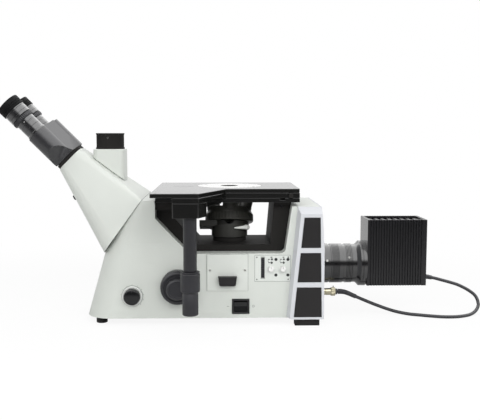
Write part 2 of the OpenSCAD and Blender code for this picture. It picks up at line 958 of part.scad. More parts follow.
// An objective with its thread, body, colour ring and nose
module objective(i, tip, body_r, nose_r, hue) {
    at_place(i) {
        color(bright_metal)
            rotate_extrude()
                polygon([
                    [6.5, -mouth_depth - 4.5],
                    [thread_r, -mouth_depth - 4.5],
                    [thread_r, -mouth_depth],
                    [objective_r, -mouth_depth],
                    [objective_r, 1.5],
                    [body_r, 3],
                    [body_r, tip - 11],
                    [nose_r + 1.5, tip - 5],
                    [nose_r, tip],
                    [nose_r - 2.5, tip],
                    [6.5, tip - 8],
                ]);
        color(hue)
            translate([0, 0, tip - 15])
                difference() {
                    cylinder(r = body_r + 0.3, h = 2.4);
                    translate([0, 0, -over])
                        cylinder(r = body_r - 0.5, h = 2.4 + 2 * over);
                }
    }
}

specimen_h = stage_z - 0.6 - turret_z;
module objective_10x() {
    objective(0, specimen_h - 10, objective_r - 0.5, 6, [0.9, 0.8, 0.2]);
}
module objective_20x() {
    objective(1, specimen_h - 7, objective_r - 0.5, 5.5, [0.3, 0.7, 0.3]);
}
module objective_50x() {
    objective(2, specimen_h - 5, objective_r - 0.5, 5, [0.3, 0.5, 0.9]);
}
module turret_plug() {
    at_place(3)
        color(satin_black)
            rotate_extrude()
                polygon([
                    [0, -mouth_depth - 4],
                    [thread_r, -mouth_depth - 4],
                    [thread_r, -mouth_depth],
                    [objective_r, -mouth_depth],
                    [objective_r, 1],
                    [objective_r - 1, 2],
                    [0, 2],
                ]);
}
module objective_5x() {
    objective(4, specimen_h - 14, objective_r - 0.5, 8, [0.85, 0.25, 0.2]);
}

// Parts inside the stand

cube_side = 22;
module filter_cube() {
    color(satin_black)
        difference() {
            block([-cube_side / 2, -cube_side / 2, lamp_z - cube_side / 2],
                [cube_side / 2, cube_side / 2, lamp_z + cube_side / 2]);
            bar_x(8, 0, cube_side, 0, lamp_z);
            translate([0, 0, lamp_z - cube_side])
                cylinder(r = 8, h = 2 * cube_side);
        }
}

slider_x = module_x;
slider_z = 73;
slider_w = 30;
module analyser_slider() {
    color(knob_black) {
        // finger pull
        along_y(-half_w - 12, -half_w - 2)
            polygon([
                [slider_x - slider_w / 2, slider_z + 7],
                [slider_x - slider_w / 2 + 2, slider_z - 7],
                [slider_x + slider_w / 2 - 2, slider_z - 7],
                [slider_x + slider_w / 2, slider_z + 7],
            ]);
        // blade that reaches under the cube
        difference() {
            block([slider_x - 11, -half_w - 3, slider_z - 9.5], [slider_x + 11, 14, slider_z - 5.5]);
            translate([0, 0, slider_z - 12])
                cylinder(r = 8, h = 10);
        }
    }
}

module module_cover() {
    color(white_paint)
        difference() {
            block([module_x - module_w / 2, -half_w - 2, module_low_z],
                [module_x + module_w / 2, -half_w - gap / 3, module_high_z]);
            block([slider_x - 11.3, -half_w - 3, slider_z - 9.8], [slider_x + 11.3, -half_w + 1, slider_z - 5.2]);
            for (x = [-1, 1])
                bar_y(1.9, -half_w - 3, -half_w - 1, module_x + x * 28, 89.5);
        }
}

module illuminator_tube() {
    color(satin_black)
        difference() {
            union() {
                bar_x(lamp_bore_r - 1, 34, base_rear - back_t - gap, 0, lamp_z);
                for (x = iris_x)
                    bar_x(26.3, x - 6, x + 6, 0, lamp_z);
                bar_x(7.5, cube_side / 2 + gap / 3, 36, 0, lamp_z);
            }
            bar_x(18, 38, base_rear, 0, lamp_z);
            bar_x(5, 0, 40, 0, lamp_z);
            for (x = iris_x)
                bar_y(2 + run, -40, 0, x, 91.6);
        }
}

iris_x = [65.5, 84.8];
module control_panel() {
    color(cover_white)
        difference() {
            block([panel_x0, -half_w - 0.4, panel_z0], [panel_x1, -half_w + 2 - gap / 3, panel_z1]);
            // filter slot
            block([49.4, -half_w - over, 76], [55.4, -half_w + 3, 110]);
            for (x = iris_x) {
                bar_y(2 + run, -half_w - over, -half_w + 3, x, 91.6);
                // centring screw holes
                for (z = [81, 106.4])
                    bar_y(1.3, -half_w - over, -half_w + 3, x + 8, z);
            }
            for (x = [panel_x0 + 3, panel_x1 - 3], z = [panel_z0 + 3, panel_z1 - 3])
                bar_y(1.2, -half_w - over, -half_w + 0.4, x, z);
        }
}

module iris_knob(x) {
    color(bright_metal) {
        bar_y(4.5, -half_w - 7, -half_w - 0.4 - gap, x, 91.6);
        bar_y(2, -half_w - 1, -26, x, 91.6);
    }
}
module field_iris_knob() {
    iris_knob(iris_x[1]);
}
module aperture_iris_knob() {
    iris_knob(iris_x[0]);
}

mirror_z = 42;
module relay_optics() {
    color(glass_tint)
        along_y(-18, 18)
            polygon([
                [-20, mirror_z + 18],
                [20, mirror_z - 18],
                [-20, mirror_z - 18],
            ]);
    color(satin_black)
        block([-22, -20, base_lift + bottom_plate_t + 0.1], [22, 20, mirror_z - 18]);
    color(satin_black)
        difference() {
            bar_x(20, -60, -36, 0, mirror_z);
            bar_x(15, -60 - over, -36 + over, 0, mirror_z);
        }
    color(glass_tint)
        bar_x(15, -52, -44, 0, mirror_z);
    color(satin_black)
        block([-58, -14, base_lift + bottom_plate_t + 0.1], [-38, 14, mirror_z - 16]);
}

module power_supply() {
    color([0.3, 0.45, 0.35])
        block([70, -62, base_lift + bottom_plate_t + 0.1], [125, -2, base_lift + bottom_plate_t + 35]);
}

module dimmer_bezel() {
    color(bright_metal)
        difference() {
            bar_y(dimmer_r, -half_w - 2.5, -half_w - gap / 3, dimmer_x, dimmer_z);
            bar_y(dimmer_r - 2, -half_w - 3, -half_w - 1.5, dimmer_x, dimmer_z);
            bar_y(4, -half_w - 3, -half_w + over, dimmer_x, dimmer_z);
        }
}

module dimmer_knob() {
    color(knob_black) {
        translate([dimmer_x, -half_w - 1.5 - gap, dimmer_z])
            rotate([90, 0, 0]) {
                cylinder(r1 = 13.5, r2 = 12.8, h = 10);
                for (i = [0 : 29])
                    rotate([0, 0, i * 12])
                        translate([12.6, -0.5, 1.5])
                            cube([0.9, 1, 7]);
            }
        bar_y(3.2, -half_w - 2, -half_w + 18, dimmer_x, dimmer_z);
    }
}

module power_switch_frame() {
    color(satin_black)
        difference() {
            union() {
                block([switch_x - switch_w / 2, -half_w - 1.6, switch_z - switch_h / 2],
                    [switch_x + switch_w / 2, -half_w - gap / 3, switch_z + switch_h / 2]);
                block([switch_x - switch_w / 2 + 2.3, -half_w - gap, switch_z - switch_h / 2 + 2.3],
                    [switch_x + switch_w / 2 - 2.3, -half_w + 16, switch_z + switch_h / 2 - 2.3]);
            }
            block([switch_x - switch_w / 2 + 3.4, -half_w - 3, switch_z - switch_h / 2 + 3.4],
                [switch_x + switch_w / 2 - 3.4, -half_w + 12, switch_z + switch_h / 2 - 3.4]);
        }
}

rocker_w = switch_w - 6.8 - 0.8;
rocker_h = switch_h - 6.8 - 0.8;
module power_rocker() {
    color(satin_black) {
        // pivot pin
        bar_x(1.5, switch_x - rocker_w / 2 - 0.3, switch_x - rocker_w / 2, -half_w + 4, switch_z);
        bar_x(1.5, switch_x + rocker_w / 2, switch_x + rocker_w / 2 + 0.3, -half_w + 4, switch_z);
        translate([switch_x, -half_w + 4, switch_z])
            rotate([90, 0, 90])
                translate([0, 0, -rocker_w / 2])
                    linear_extrude(rocker_w)
                        polygon([
                            [-5.5, -rocker_h / 2 + 1.2],
                            [-4.5, 0],
                            [-7, rocker_h / 2 - 1.2],
                            [2, rocker_h / 2 - 1.6],
                            [5, 0],
                            [2, -rocker_h / 2 + 1.6],
                        ]);
    }
}

// Head

module head_form(inset) {
    hull() {
        translate([seam_low[0], 0, seam_low[1]])
            rotate([0, -seam_angle, 0])
                translate([0, 0, gap - (inset > 0 ? 2 : 0)])
                    linear_extrude(0.5)
                        polygon(concat(
                            arc(inset + 34, -half_w + 34, 34 - inset, 180, 270, 8),
                            arc(seam_len - 6, -half_w + 6, 6 - inset / 2, 270, 360, 4),
                            arc(seam_len - 6, half_w - 6, 6 - inset / 2, 0, 90, 4),
                            arc(inset + 34, half_w - 34, 34 - inset, 90, 180, 8)));
        at_flange()
            translate([0, 0, -0.5 - inset])
                linear_extrude(0.5)
                    polygon(rounded_rect(-flange_half_h + inset, -flange_half_w + inset,
                        flange_half_h - inset, flange_half_w - inset, 14));
    }
}

light_r = 16;
module head_housing() {
    color(white_paint)
        difference() {
            head_form(0);
            head_form(wall);
            at_flange()
                translate([0, 0, -wall - 4])
                    cylinder(r = light_r, h = wall + 8);
            translate([-port_x, 0, 215])
                cylinder(r = light_r, h = 80);
            // selector rod in the front face
            translate([-selector_x, 0, selector_z])
                rotate([0, -90 + selector_tilt, 0])
                    translate([0, 0, -16])
                        cylinder(r = 3 + run, h = 30);
        }
}

// Rod through the head's front face, with the light splitting prism at its inner end
module path_selector() {
    translate([-selector_x, 0, selector_z])
        rotate([0, -90 + selector_tilt, 0]) {
            color(satin_black) {
                translate([0, 0, 2])
                    cylinder(r = 4.2, h = 6);
                translate([0, 0, -42])
                    cylinder(r = 3, h = 45);
            }
            color(glass_tint)
                translate([-13, -13, -68])
                    cube(26);
        }
}

module port_column() {
    color(white_paint)
        difference() {
            translate([-port_x, 0, 200])
                linear_extrude(column_z - 200)
                    polygon(rounded_rect(-column_w / 2, -column_w / 2, column_w / 2, column_w / 2, 10));
            // bottom cut along the head's sloping top
            top_low = seam_low + seam_len * [cos(seam_angle), sin(seam_angle)];
            top_high = [-flange_x + flange_half_h * sin(view_angle), flange_z + flange_half_h * cos(view_angle)];
            run_up = top_high - top_low;
            translate([top_low[0], 0, top_low[1]])
                rotate([0, -atan2(run_up[1], run_up[0]), 0])
                    translate([-100, -60, -gap - 0.45])
                        cube([400, 120, 200]);
            translate([-port_x, 0, 190])
                cylinder(r = light_r, h = 100);
        }
}

module photo_tube() {
    color(satin_black)
        translate([-port_x, 0, column_z + 0.1])
            rotate_extrude()
                polygon([
                    [photo_bore_d / 2, 0],
                    [photo_tube_d / 2 + 1, 0],
                    [photo_tube_d / 2 + 1, 2.5],
                    [photo_tube_d / 2, 3],
                    [photo_tube_d / 2, photo_tube_z - column_z - 2.5],
                    [photo_tube_d / 2 + 0.7, photo_tube_z - column_z - 2],
                    [photo_tube_d / 2 + 0.7, photo_tube_z - column_z - 0.1],
                    [photo_bore_d / 2, photo_tube_z - column_z - 0.1],
                ]);
}

// Binocular

eye_y = eye_distance / 2;
eye_drop = sqrt(eye_arm * eye_arm - eye_y * eye_y);
eye_b = -4.4;
hinge_b = eye_b + eye_drop;
swing_rest = asin(eye_y / eye_arm);
hinge_pin_r = 5;
mount_t = 6;
boss_split = 34;
notch_angle = 16;

module binocular_mount() {
    color(satin_black)
        at_flange() {
            difference() {
                translate([0, 0, 0.1])
                    linear_extrude(mount_t - 0.1)
                        polygon(rounded_rect(-flange_half_h + 1, -flange_half_w + 1,
                            flange_half_h - 0.5, flange_half_w - 1, 13));
                translate([0, 0, -over])
                    cylinder(r = 11, h = mount_t + 2 * over);
            }
            translate([hinge_b, 0, mount_t - over])
                cylinder(r = hinge_pin_r, h = eye_housing_len - mount_t + over - 1);
            translate([hinge_b, 0, eye_housing_len - 1 - 0.2])
                cylinder(r = 8, h = 3);
        }
}

// One prism housing in the head's frame, on the -Y side
module prism_half(own_low, own_high) {
    // tangent lines between the two round ends
    tilt = acos((hinge_housing_r - eye_housing_r) / eye_arm);
    axis_a = atan2(-eye_y, eye_b - hinge_b);
    difference() {
        translate([0, 0, mount_t + gap])
            linear_extrude(eye_housing_len - mount_t - gap)
                union() {
                    translate([hinge_b, 0])
                        circle(r = hinge_housing_r);
                    difference() {
                        union() {
                            translate([eye_b, -eye_y])
                                circle(r = eye_housing_r);
                            polygon([for (s = [0 : 3])
                                let (a = axis_a + (s == 1 || s == 2 ? tilt : -tilt))
                                s < 2
                                    ? [hinge_b, 0] + (hinge_housing_r - 0.4) * [cos(a), sin(a)]
                                    : [eye_b, -eye_y] + (eye_housing_r - 0.4) * [cos(a), sin(a)]]);
                        }
                        // the notch, which closes as the eyepieces come together
                        polygon([
                            [hinge_b, 0],
                            [hinge_b - 90 * cos(notch_angle), -90 * sin(notch_angle)],
                            [hinge_b - 90, 60],
                            [hinge_b + 60, 60],
                            [hinge_b + 60, 0],
                        ]);
                    }
                }
        // room for the other half's boss
        translate([hinge_b, 0, mount_t - over])
            cylinder(r = hinge_housing_r + gap, h = own_low - mount_t + over);
        translate([hinge_b, 0, own_high])
            cylinder(r = hinge_housing_r + gap, h = eye_housing_len - own_high + over);
        translate([hinge_b, 0, 0])
            cylinder(r = hinge_pin_r + run, h = eye_housing_len + over);
        // the housing narrows towards the flange
        rotate([90, 0, 90])
            translate([0, 0, -60])
                linear_extrude(120)
                    polygon([
                        [-eye_y - eye_housing_r - over, mount_t + 26],
                        [-eye_y - eye_housing_r - over, 0],
                        [-flange_half_w - 1, 0],
                        [-flange_half_w - 1, mount_t + 1],
                    ]);
        // bore for the light
        translate([eye_b, -eye_y, eye_housing_len - 20])
            cylinder(r = 12, h = 30);
    }
}

module right_prism_housing() {
    color(knob_black)
        at_flange()
            prism_half(mount_t + gap, boss_split);
}

module left_prism_housing() {
    color(knob_black)
        at_flange()
            mirror([0, 1, 0])
                prism_half(boss_split + gap, eye_housing_len - 1.5);
}

ring_a0 = 94;
ring_a1 = 101.5;
eyecup_a0 = 117.5;
module eyepiece() {
    tube_r1 = eye_tube_d / 2;
    at_flange()
        translate([eye_b, -eye_y, 0]) {
            color(knob_black)
                rotate_extrude()
                    polygon([
                        [12, eye_housing_len + 0.1],
                        [tube_r1 + 1, eye_housing_len + 0.1],
                        [tube_r1 + 1, eye_housing_len + 3],
                        [tube_r1, eye_housing_len + 3.5],
                        [tube_r1, ring_a1 + gap],
                        [tube_r1 + 2.9, ring_a1 + gap],
                        [tube_r1 + 2.9, eyecup_a0],
                        [14, eyecup_a0],
                        [14, eyecup_a0 - 5],
                        [12, eyecup_a0 - 5],
                    ]);
            color(glass_tint)
                translate([0, 0, eyecup_a0 - 9])
                    cylinder(r = 12.2, h = 3);
            color(rubber_black)
                rotate_extrude()
                    polygon([
                        [15, eyecup_a0 - 0.5],
                        [eyecup_d / 2 - 0.8, eyecup_a0 - 0.5],
                        [eyecup_d / 2, eyecup_a0 + 1],
                        [eyecup_d / 2, eye_reach - 1],
                        [eyecup_d / 2 - 1, eye_reach],
                        [eyecup_d / 2 - 2.5, eye_reach - 0.6],
                        [eyecup_d / 2 - 3.5, eye_reach - 4],
                        [15, eyecup_a0 + 3],
                    ]);
        }
}

// Ring that focuses an eyepiece, turning on its tube
module diopter_ring() {
    color(knob_black)
        at_flange()
            translate([eye_b, -eye_y, 0]) {
                r = eye_tube_d / 2;
                rotate_extrude()
                    polygon([
                        [r + run, ring_a0],
                        [r + 1.4, ring_a0],
                        [r + 2.2, ring_a0 + 0.8],
                        [r + 2.2, ring_a1 - 0.8],
                        [r + 1.4, ring_a1],
                        [r + run, ring_a1],
                    ]);
                for (i = [0 : 23])
                    rotate([0, 0, i * 15])
                        translate([r + 1.8, -0.8, ring_a0 + 1.2])
                            cube([0.9, 1.6, ring_a1 - ring_a0 - 2.4]);
            }
}

module right_diopter_ring() {
    diopter_ring();
}

module left_diopter_ring() {
    mirror([0, 1, 0])
        diopter_ring();
}

module right_eyepiece() {
    eyepiece();
}

module left_eyepiece() {
    mirror([0, 1, 0])
        eyepiece();
}

// Lamp

collar_x = lamp_x - 10.5;
module lamp_tube() {
    r = lamp_tube_d / 2;
    x0 = base_rear + 0.1;
    color(satin_black)
        translate([0, 0, lamp_z])
            rotate([0, 90, 0])
                rotate_extrude()
                    polygon([
                        [lamp_bore_r, x0],
                        [r, x0],
                        [r, x0 + 18],
                        [r - 1.2, x0 + 18.5],
                        [r - 1.2, x0 + 21],
                        [r, x0 + 21.5],
                        [r, x0 + 42],
                        [r - 1, x0 + 42.5],
                        [r - 1, x0 + 47],
                        [r, x0 + 47.5],
                        [r, x0 + 58],
                        [r - 0.8, x0 + 58.5],
                        [r - 0.8, collar_x - 6],
                        [r + 1.5, collar_x - 3],
                        [r + 5.2, collar_x],
                        [r + 5.2, lamp_x - 0.1],
                        [lamp_bore_r, lamp_x - 0.1],
                    ]);
}

module lamp_collector() {
    color(glass_tint)
        translate([0, 0, lamp_z])
            rotate([0, 90, 0])
                rotate_extrude()
                    polygon([
                        [0, lamp_x - 30],
                        [lamp_bore_r - 0.1, lamp_x - 30],
                        [lamp_bore_r - 0.1, lamp_x - 26],
                        [16, lamp_x - 20],
                        [8, lamp_x - 17.5],
                        [0, lamp_x - 17],
                    ]);
}

lamp_y = lamp_depth / 2;
lamp_wall = 5;
cap_t = 3;
fin_groove = 2.1;
module lamphouse() {
    side_fins = floor((lamp_len - 6) / fin_pitch);
    back_fins = floor((lamp_depth - 6) / fin_pitch);
    color(satin_black)
        difference() {
            translate([0, 0, lamp_low_z])
                linear_extrude(lamp_top_z - lamp_low_z)
                    difference() {
                        polygon([
                            [lamp_x, -lamp_y],
                            [lamp_x + lamp_len, -lamp_y],
                            [lamp_x + lamp_len, lamp_y],
                            [lamp_x, lamp_y],
                        ]);
                        polygon([
                            [lamp_x + lamp_wall, -lamp_y + lamp_wall],
                            [lamp_x + lamp_len - lamp_wall, -lamp_y + lamp_wall],
                            [lamp_x + lamp_len - lamp_wall, lamp_y - lamp_wall],
                            [lamp_x + lamp_wall, lamp_y - lamp_wall],
                        ]);
                        for (i = [0 : side_fins - 1], s = [-1, 1])
                            translate([lamp_x + 4 + i * fin_pitch, s * lamp_y - (s > 0 ? fin_depth : over)])
                                square([fin_groove, fin_depth + over]);
                        for (i = [0 : back_fins - 1])
                            translate([lamp_x + lamp_len - fin_depth,
                                -back_fins * fin_pitch / 2 + (fin_pitch - fin_groove) / 2 + i * fin_pitch])
                                square([fin_depth + over, fin_groove]);
                    }
            bar_x(lamp_bore_r, lamp_x - over, lamp_x + lamp_wall + over, 0, lamp_z);
            bar_x(cable_d / 2 + 2.1, lamp_x + lamp_len - lamp_wall - over, lamp_x + lamp_len + over, 0, exit_z);
        }
}

// Slotted plates that close the lamphouse: one let into the top, one under the bulb
module lamphouse_cap() {
    color(satin_black)
        for (z = [lamp_top_z - 6, lamp_low_z])
            difference() {
                block([lamp_x + lamp_wall + 0.1, -lamp_y + lamp_wall + 0.1, z],
                    [lamp_x + lamp_len - lamp_wall - 0.1, lamp_y - lamp_wall - 0.1, z + cap_t]);
                for (i = [0 : 6])
                    block([lamp_x + 14 + i * 11, -20, z - over], [lamp_x + 20 + i * 11, 20, z + cap_t + over]);
            }
}

module lamp_bulb() {
    color(cover_white)
        block([lamp_x + 20, -9, lamp_low_z + cap_t + 0.1], [lamp_x + 38, 9, lamp_z - 18]);
    color(glass_tint)
        translate([lamp_x + 29, 0, lamp_z - 18]) {
            cylinder(r = 5.5, h = 22);
            translate([0, 0, 22])
                sphere(r = 5.5);
        }
}

// Lamp cable

cable_d = 5.6;
exit_z = 62;
cable_low = cable_d / 2 + 0.1;
connector_x = 183;
connector_len = connector_x - base_rear;
// The cable leaves the lamphouse, turns back along the bench and rises to its connector
CABLE_ROUTE = [
    [332, 0, 62], [343, 0, 60.5], [356, 0, 58], [369, 0, 54.5], [382, -1, 51], [395, -2, 47],
    [407, -4, 41.5], [417, -6, 35.5], [424, -9, 29.5], [427.5, -13, 22.5], [428, -18, 15.5], [423, -25, 9],
    [414, -34, 4.5], [402, -44, 3], [388, -52, 3], [372, -56, 3], [356, -55, 3], [340, -50, 3],
    [324, -43, 3], [308, -36, 3], [294, -29.5, 4], [280, -25, 6.5], [266, -22, 10.5], [252, -20.5, 15.5],
    [238, -20, 21], [224, -20, 27], [210, -20, 33], [199, -20, 37.8], [190.5, -20, 39.6], [183, -20, 39.7],
];

// A tube of n sides swept along a list of points
module swept_tube(path, r, n) {
    last = len(path) - 1;
    ring = [for (i = [0 : last])
        let (a = path[max(i - 1, 0)], b = path[min(i + 1, last)],
            t = (b - a) / norm(b - a),
            side = cross(t, [0, 1, 0]),
            u = side / norm(side),
            v = cross(t, u))
        for (k = [0 : n - 1])
            path[i] + r * (cos(360 * k / n) * u + sin(360 * k / n) * v)];
    walls = [for (i = [0 : last - 1], k = [0 : n - 1])
        let (m = (k + 1) % n)
        [i * n + k, i * n + m, (i + 1) * n + m, (i + 1) * n + k]];
    ends = [[for (k = [n - 1 : -1 : 0]) k], [for (k = [0 : n - 1]) last * n + k]];
    polyhedron(ring, concat(walls, ends), convexity = 6);
}

module lamp_cable() {
    color(satin_black)
        swept_tube(CABLE_ROUTE, cable_d / 2, 10);
}

module lamp_connector() {
    color(brass)
        translate([0, socket_y, socket_z])
            rotate([0, 90, 0])
                rotate_extrude()
                    polygon([
                        [0, base_rear - 5],
                        [5.5, base_rear - 5],
                        [5.5, base_rear + 0.2],
                        [8.5, base_rear + 0.2],
                        [8.5, base_rear + 3],
                        [6, base_rear + 3.5],
                        [6, base_rear + 13],
                        [7.2, base_rear + 13.5],
                        [7.2, base_rear + 27],
                        [5, base_rear + 29],
                        [4, connector_x - 0.1],
                        [0, connector_x - 0.1],
                    ]);
}

// Half the reach of the whole microscope, which puts the origin under its middle
reach_front = flange_x + eye_reach * cos(view_angle) - eye_b * cos(view_angle)
    + eyecup_d / 2 * sin(view_angle);
mid_x = (lamp_x + lamp_len - reach_front) / 2;
mid_y = (fine_y1 - wing_y) / 2;

module place() {
    translate([-mid_x, -mid_y, 0])
        children();
}

place() {
    stand_housing();
    bottom_plate();
    feet();
    rear_cover();
    side_panels();
    mains_inlet();
    stage_frame();
    stage_base();
    stage_carriage();
    stage_top();
    stage_insert();
    stage_lock_screw();
    drive_housing();
    drive_sleeve();
    y_knob();
    x_knob();
    focus_bushes();
    coarse_knobs();
    fine_knobs();
    focus_pinion();
    guide_collar();
    nosepiece_carriage();
    nosepiece_base();
    turret();
    objective_5x();
    objective_10x();
    objective_20x();
    objective_50x();
    turret_plug();
    filter_cube();
    analyser_slider();
    module_cover();
    illuminator_tube();
    control_panel();
    field_iris_knob();
    aperture_iris_knob();
    relay_optics();
    power_supply();
    dimmer_bezel();
    dimmer_knob();
    power_switch_frame();
    power_rocker();
    head_housing();
    path_selector();
    port_column();
    photo_tube();
    binocular_mount();
    right_prism_housing();
    left_prism_housing();
    right_eyepiece();
    left_eyepiece();
    right_diopter_ring();
    left_diopter_ring();
    lamp_tube();
    lamp_collector();
    lamphouse();
    lamphouse_cap();
    lamp_bulb();
    lamp_cable();
    lamp_connector();
}
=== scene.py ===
"""Dresses the inverted microscope: finishes, rounded castings, turned parts, cable, light and camera."""

import json
import logging
import math
from dataclasses import dataclass
from enum import Enum

import bmesh
import bpy
import numpy as np
from mathutils import Matrix, Vector

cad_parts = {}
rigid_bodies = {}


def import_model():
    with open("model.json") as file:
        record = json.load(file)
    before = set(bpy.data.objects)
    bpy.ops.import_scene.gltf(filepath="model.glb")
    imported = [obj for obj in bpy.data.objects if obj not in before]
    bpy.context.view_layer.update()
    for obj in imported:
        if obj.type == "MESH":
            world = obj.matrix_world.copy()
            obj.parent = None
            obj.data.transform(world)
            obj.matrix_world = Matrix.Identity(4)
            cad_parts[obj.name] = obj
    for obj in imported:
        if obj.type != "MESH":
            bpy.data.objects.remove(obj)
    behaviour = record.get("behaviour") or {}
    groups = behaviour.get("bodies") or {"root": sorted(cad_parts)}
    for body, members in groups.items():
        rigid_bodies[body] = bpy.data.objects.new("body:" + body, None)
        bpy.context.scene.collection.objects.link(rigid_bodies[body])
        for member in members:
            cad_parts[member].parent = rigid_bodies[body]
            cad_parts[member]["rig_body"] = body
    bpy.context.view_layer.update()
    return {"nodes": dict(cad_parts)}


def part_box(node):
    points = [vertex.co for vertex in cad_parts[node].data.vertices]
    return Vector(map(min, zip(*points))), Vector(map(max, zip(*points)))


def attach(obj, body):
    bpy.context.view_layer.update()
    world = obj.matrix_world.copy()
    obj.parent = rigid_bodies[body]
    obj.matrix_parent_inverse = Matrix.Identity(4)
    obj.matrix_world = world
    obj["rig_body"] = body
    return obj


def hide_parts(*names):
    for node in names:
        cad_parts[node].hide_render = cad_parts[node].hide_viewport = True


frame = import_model()
LOG = logging.getLogger("microscope")

Point = tuple[float, float, float]
# Pairs of a radius and a place along an axis, both in millimetres
Profile = list[tuple[float, float]]

MM = 0.001
# The optical axis of the objectives stands here in the row frame, in millimetres
AXIS_X, AXIS_Y = 22.5736, 26.95
# Half the width of the stand, from its middle to the faces that carry the controls
HALF_W = 86.0
# The dimmer's axis on the near side
DIMMER = (-157.5, 47.6)
# Both eyepieces lean back by 45 degrees
EYE_LEAN = math.sqrt(0.5)
# Points closer than this, in metres, are one
SAME_POINT = 1e-6
# Paint and moulded parts vary in tone over patches of about this size
PATCH_MM = 60.0


class Grain(Enum):
    """How a surface was made, which sets its fine relief."""

    CAST = "powder paint on a casting, with a fine orange peel"
    MOULDED = "moulded plastic with an etched grain"
    BRUSHED = "metal brushed in one direction"
    TURNED = "metal turned on a lathe, with rings round its axis"
    PLAIN = "polished, with no relief"


def linear(hex_colour: str) -> tuple[float, float, float, float]:
    """Turns an sRGB hex colour to linear red, green, blue and alpha.

    Args:
        hex_colour: six hex digits.

    Returns:
        The linear colour with alpha 1.
    """
    parts = [int(hex_colour[i:i + 2], 16) / 255 for i in (0, 2, 4)]
    lin = [c / 12.92 if c <= 0.04045 else ((c + 0.055) / 1.055) ** 2.4 for c in parts]
    return (lin[0], lin[1], lin[2], 1.0)


WHITE = linear("FFFFFF")


def place(x: float, y: float, z: float) -> Vector:
    """Row-frame point in metres from a point in millimetres about the optical axis."""
    return Vector(((x + AXIS_X) * MM, (y + AXIS_Y) * MM, z * MM))


def add_node(tree: bpy.types.NodeTree, kind: str, inputs: dict | None = None,
             **settings: object) -> bpy.types.Node:
    """Adds a shader node with its settings and its links.

    Args:
        tree: the material's node tree.
        kind: the node's type name.
        inputs: socket name or number to a value, or to another node's output socket.
        **settings: attributes of the node.

    Returns:
        The new node.
    """
    node = tree.nodes.new(kind)
    for key, value in settings.items():
        setattr(node, key, value)
    for key, value in (inputs or {}).items():
        if isinstance(value, bpy.types.NodeSocket):
            tree.links.new(value, node.inputs[key])
        else:
            node.inputs[key].default_value = value
    return node


@dataclass(frozen=True)
class Finish:
    """One procedural material, from a base colour, a second tone and a fine relief."""

    name: str
    slot: str
    base: str
    tone: str
    roughness: float
    grain: Grain = Grain.PLAIN
    grain_mm: float = 0.8
    relief: float = 0.12
    metallic: float = 0.0
    coat: float = 0.0
    specular: float = 0.5
    centre: Point = (0.0, 0.0, 0.0)
    clear: bool = False

    def material(self) -> bpy.types.Material:
        """Builds the material once and returns it after that.

        The colour drifts between the base and the tone in patches of 60 mm, and the roughness and the
        bump follow the grain.

        Returns:
            The material, one for each name.
        """
        made = bpy.data.materials.get(self.name)
        if made is not None:
            return made
        made = bpy.data.materials.new(self.name)
        made.use_nodes = True
        tree = made.node_tree
        tree.nodes.clear()
        out = add_node(tree, "ShaderNodeOutputMaterial")
        shader = add_node(tree, "ShaderNodeBsdfPrincipled")
        tree.links.new(shader.outputs[0], out.inputs[0])
        shader.inputs["Metallic"].default_value = self.metallic
        if self.metallic < 0.5:
            shader.inputs["Specular IOR Level"].default_value = self.specular
        shader.inputs["Coat Weight"].default_value = self.coat
        if self.clear:
            shader.inputs["Transmission Weight"].default_value = 0.9
        place_on = add_node(tree, "ShaderNodeTexCoord")
        mapped = add_node(tree, "ShaderNodeMapping", {0: place_on.outputs["Object"], "Location": self.centre})
        patches = add_node(tree, "ShaderNodeTexNoise", {"Vector": mapped.outputs[0], "Scale": 1 / (PATCH_MM * MM),
                                                        "Detail": 3.0})
        ramp = add_node(tree, "ShaderNodeValToRGB", {0: patches.outputs[0]})
        ramp.color_ramp.elements[0].position = 0.35
        ramp.color_ramp.elements[1].position = 0.65
        ramp.color_ramp.elements[0].color = linear(self.base)
        ramp.color_ramp.elements[1].color = linear(self.tone)
        tree.links.new(ramp.outputs[0], shader.inputs["Base Color"])
        fine = self.fine_pattern(tree, mapped)
        # the tops of the grain are a little duller than its valleys
        rough = add_node(tree, "ShaderNodeMapRange", {0: fine, 3: self.roughness * 0.88,
                                                      4: min(1.0, self.roughness * 1.14)})
        tree.links.new(rough.outputs[0], shader.inputs["Roughness"])
        # the relief is a quarter as high as one grain is wide
        if self.grain is not Grain.PLAIN:
            bump = add_node(tree, "ShaderNodeBump", {"Height": fine, "Strength": self.relief,
                                                     "Distance": self.grain_mm * MM * 0.25})
            tree.links.new(bump.outputs[0], shader.inputs["Normal"])
        return made

    def fine_pattern(self, tree: bpy.types.NodeTree, mapped: bpy.types.Node) -> bpy.types.NodeSocket:
        """Adds the fine relief's pattern.

        Args:
            tree: the material's node tree.
            mapped: the Mapping node that centres the pattern.

        Returns:
            The socket with the pattern's height.
        """
        scale = 1 / (self.grain_mm * MM)
        if self.grain is Grain.TURNED:
            # the wave's rings then stand about two grains apart
            rings = add_node(tree, "ShaderNodeTexWave", {"Vector": mapped.outputs[0], "Scale": scale * 0.15,
                                                         "Distortion": 0.4, "Detail": 1.0, "Detail Scale": 2.0},
                             wave_type="RINGS", rings_direction="Z")
            return rings.outputs["Fac"]
        if self.grain is Grain.BRUSHED:
            # brush lines are 25 times as long as they are wide
            stretched = add_node(tree, "ShaderNodeMapping", {0: mapped.outputs[0], "Scale": (0.04, 1.0, 1.0)})
            lines = add_node(tree, "ShaderNodeTexNoise", {"Vector": stretched.outputs[0], "Scale": scale,
                                                          "Detail": 2.0})
            return lines.outputs[0]
        grains = add_node(tree, "ShaderNodeTexNoise", {"Vector": mapped.outputs[0], "Scale": scale, "Detail": 2.0,
                                                       "Roughness": 0.6})
        return grains.outputs[0]


# Sizes of grain are real ones where they show. On the small black parts the real grain is about
# 0.1 mm, too fine for the picture, so it is drawn at 0.3 to 0.8 mm.

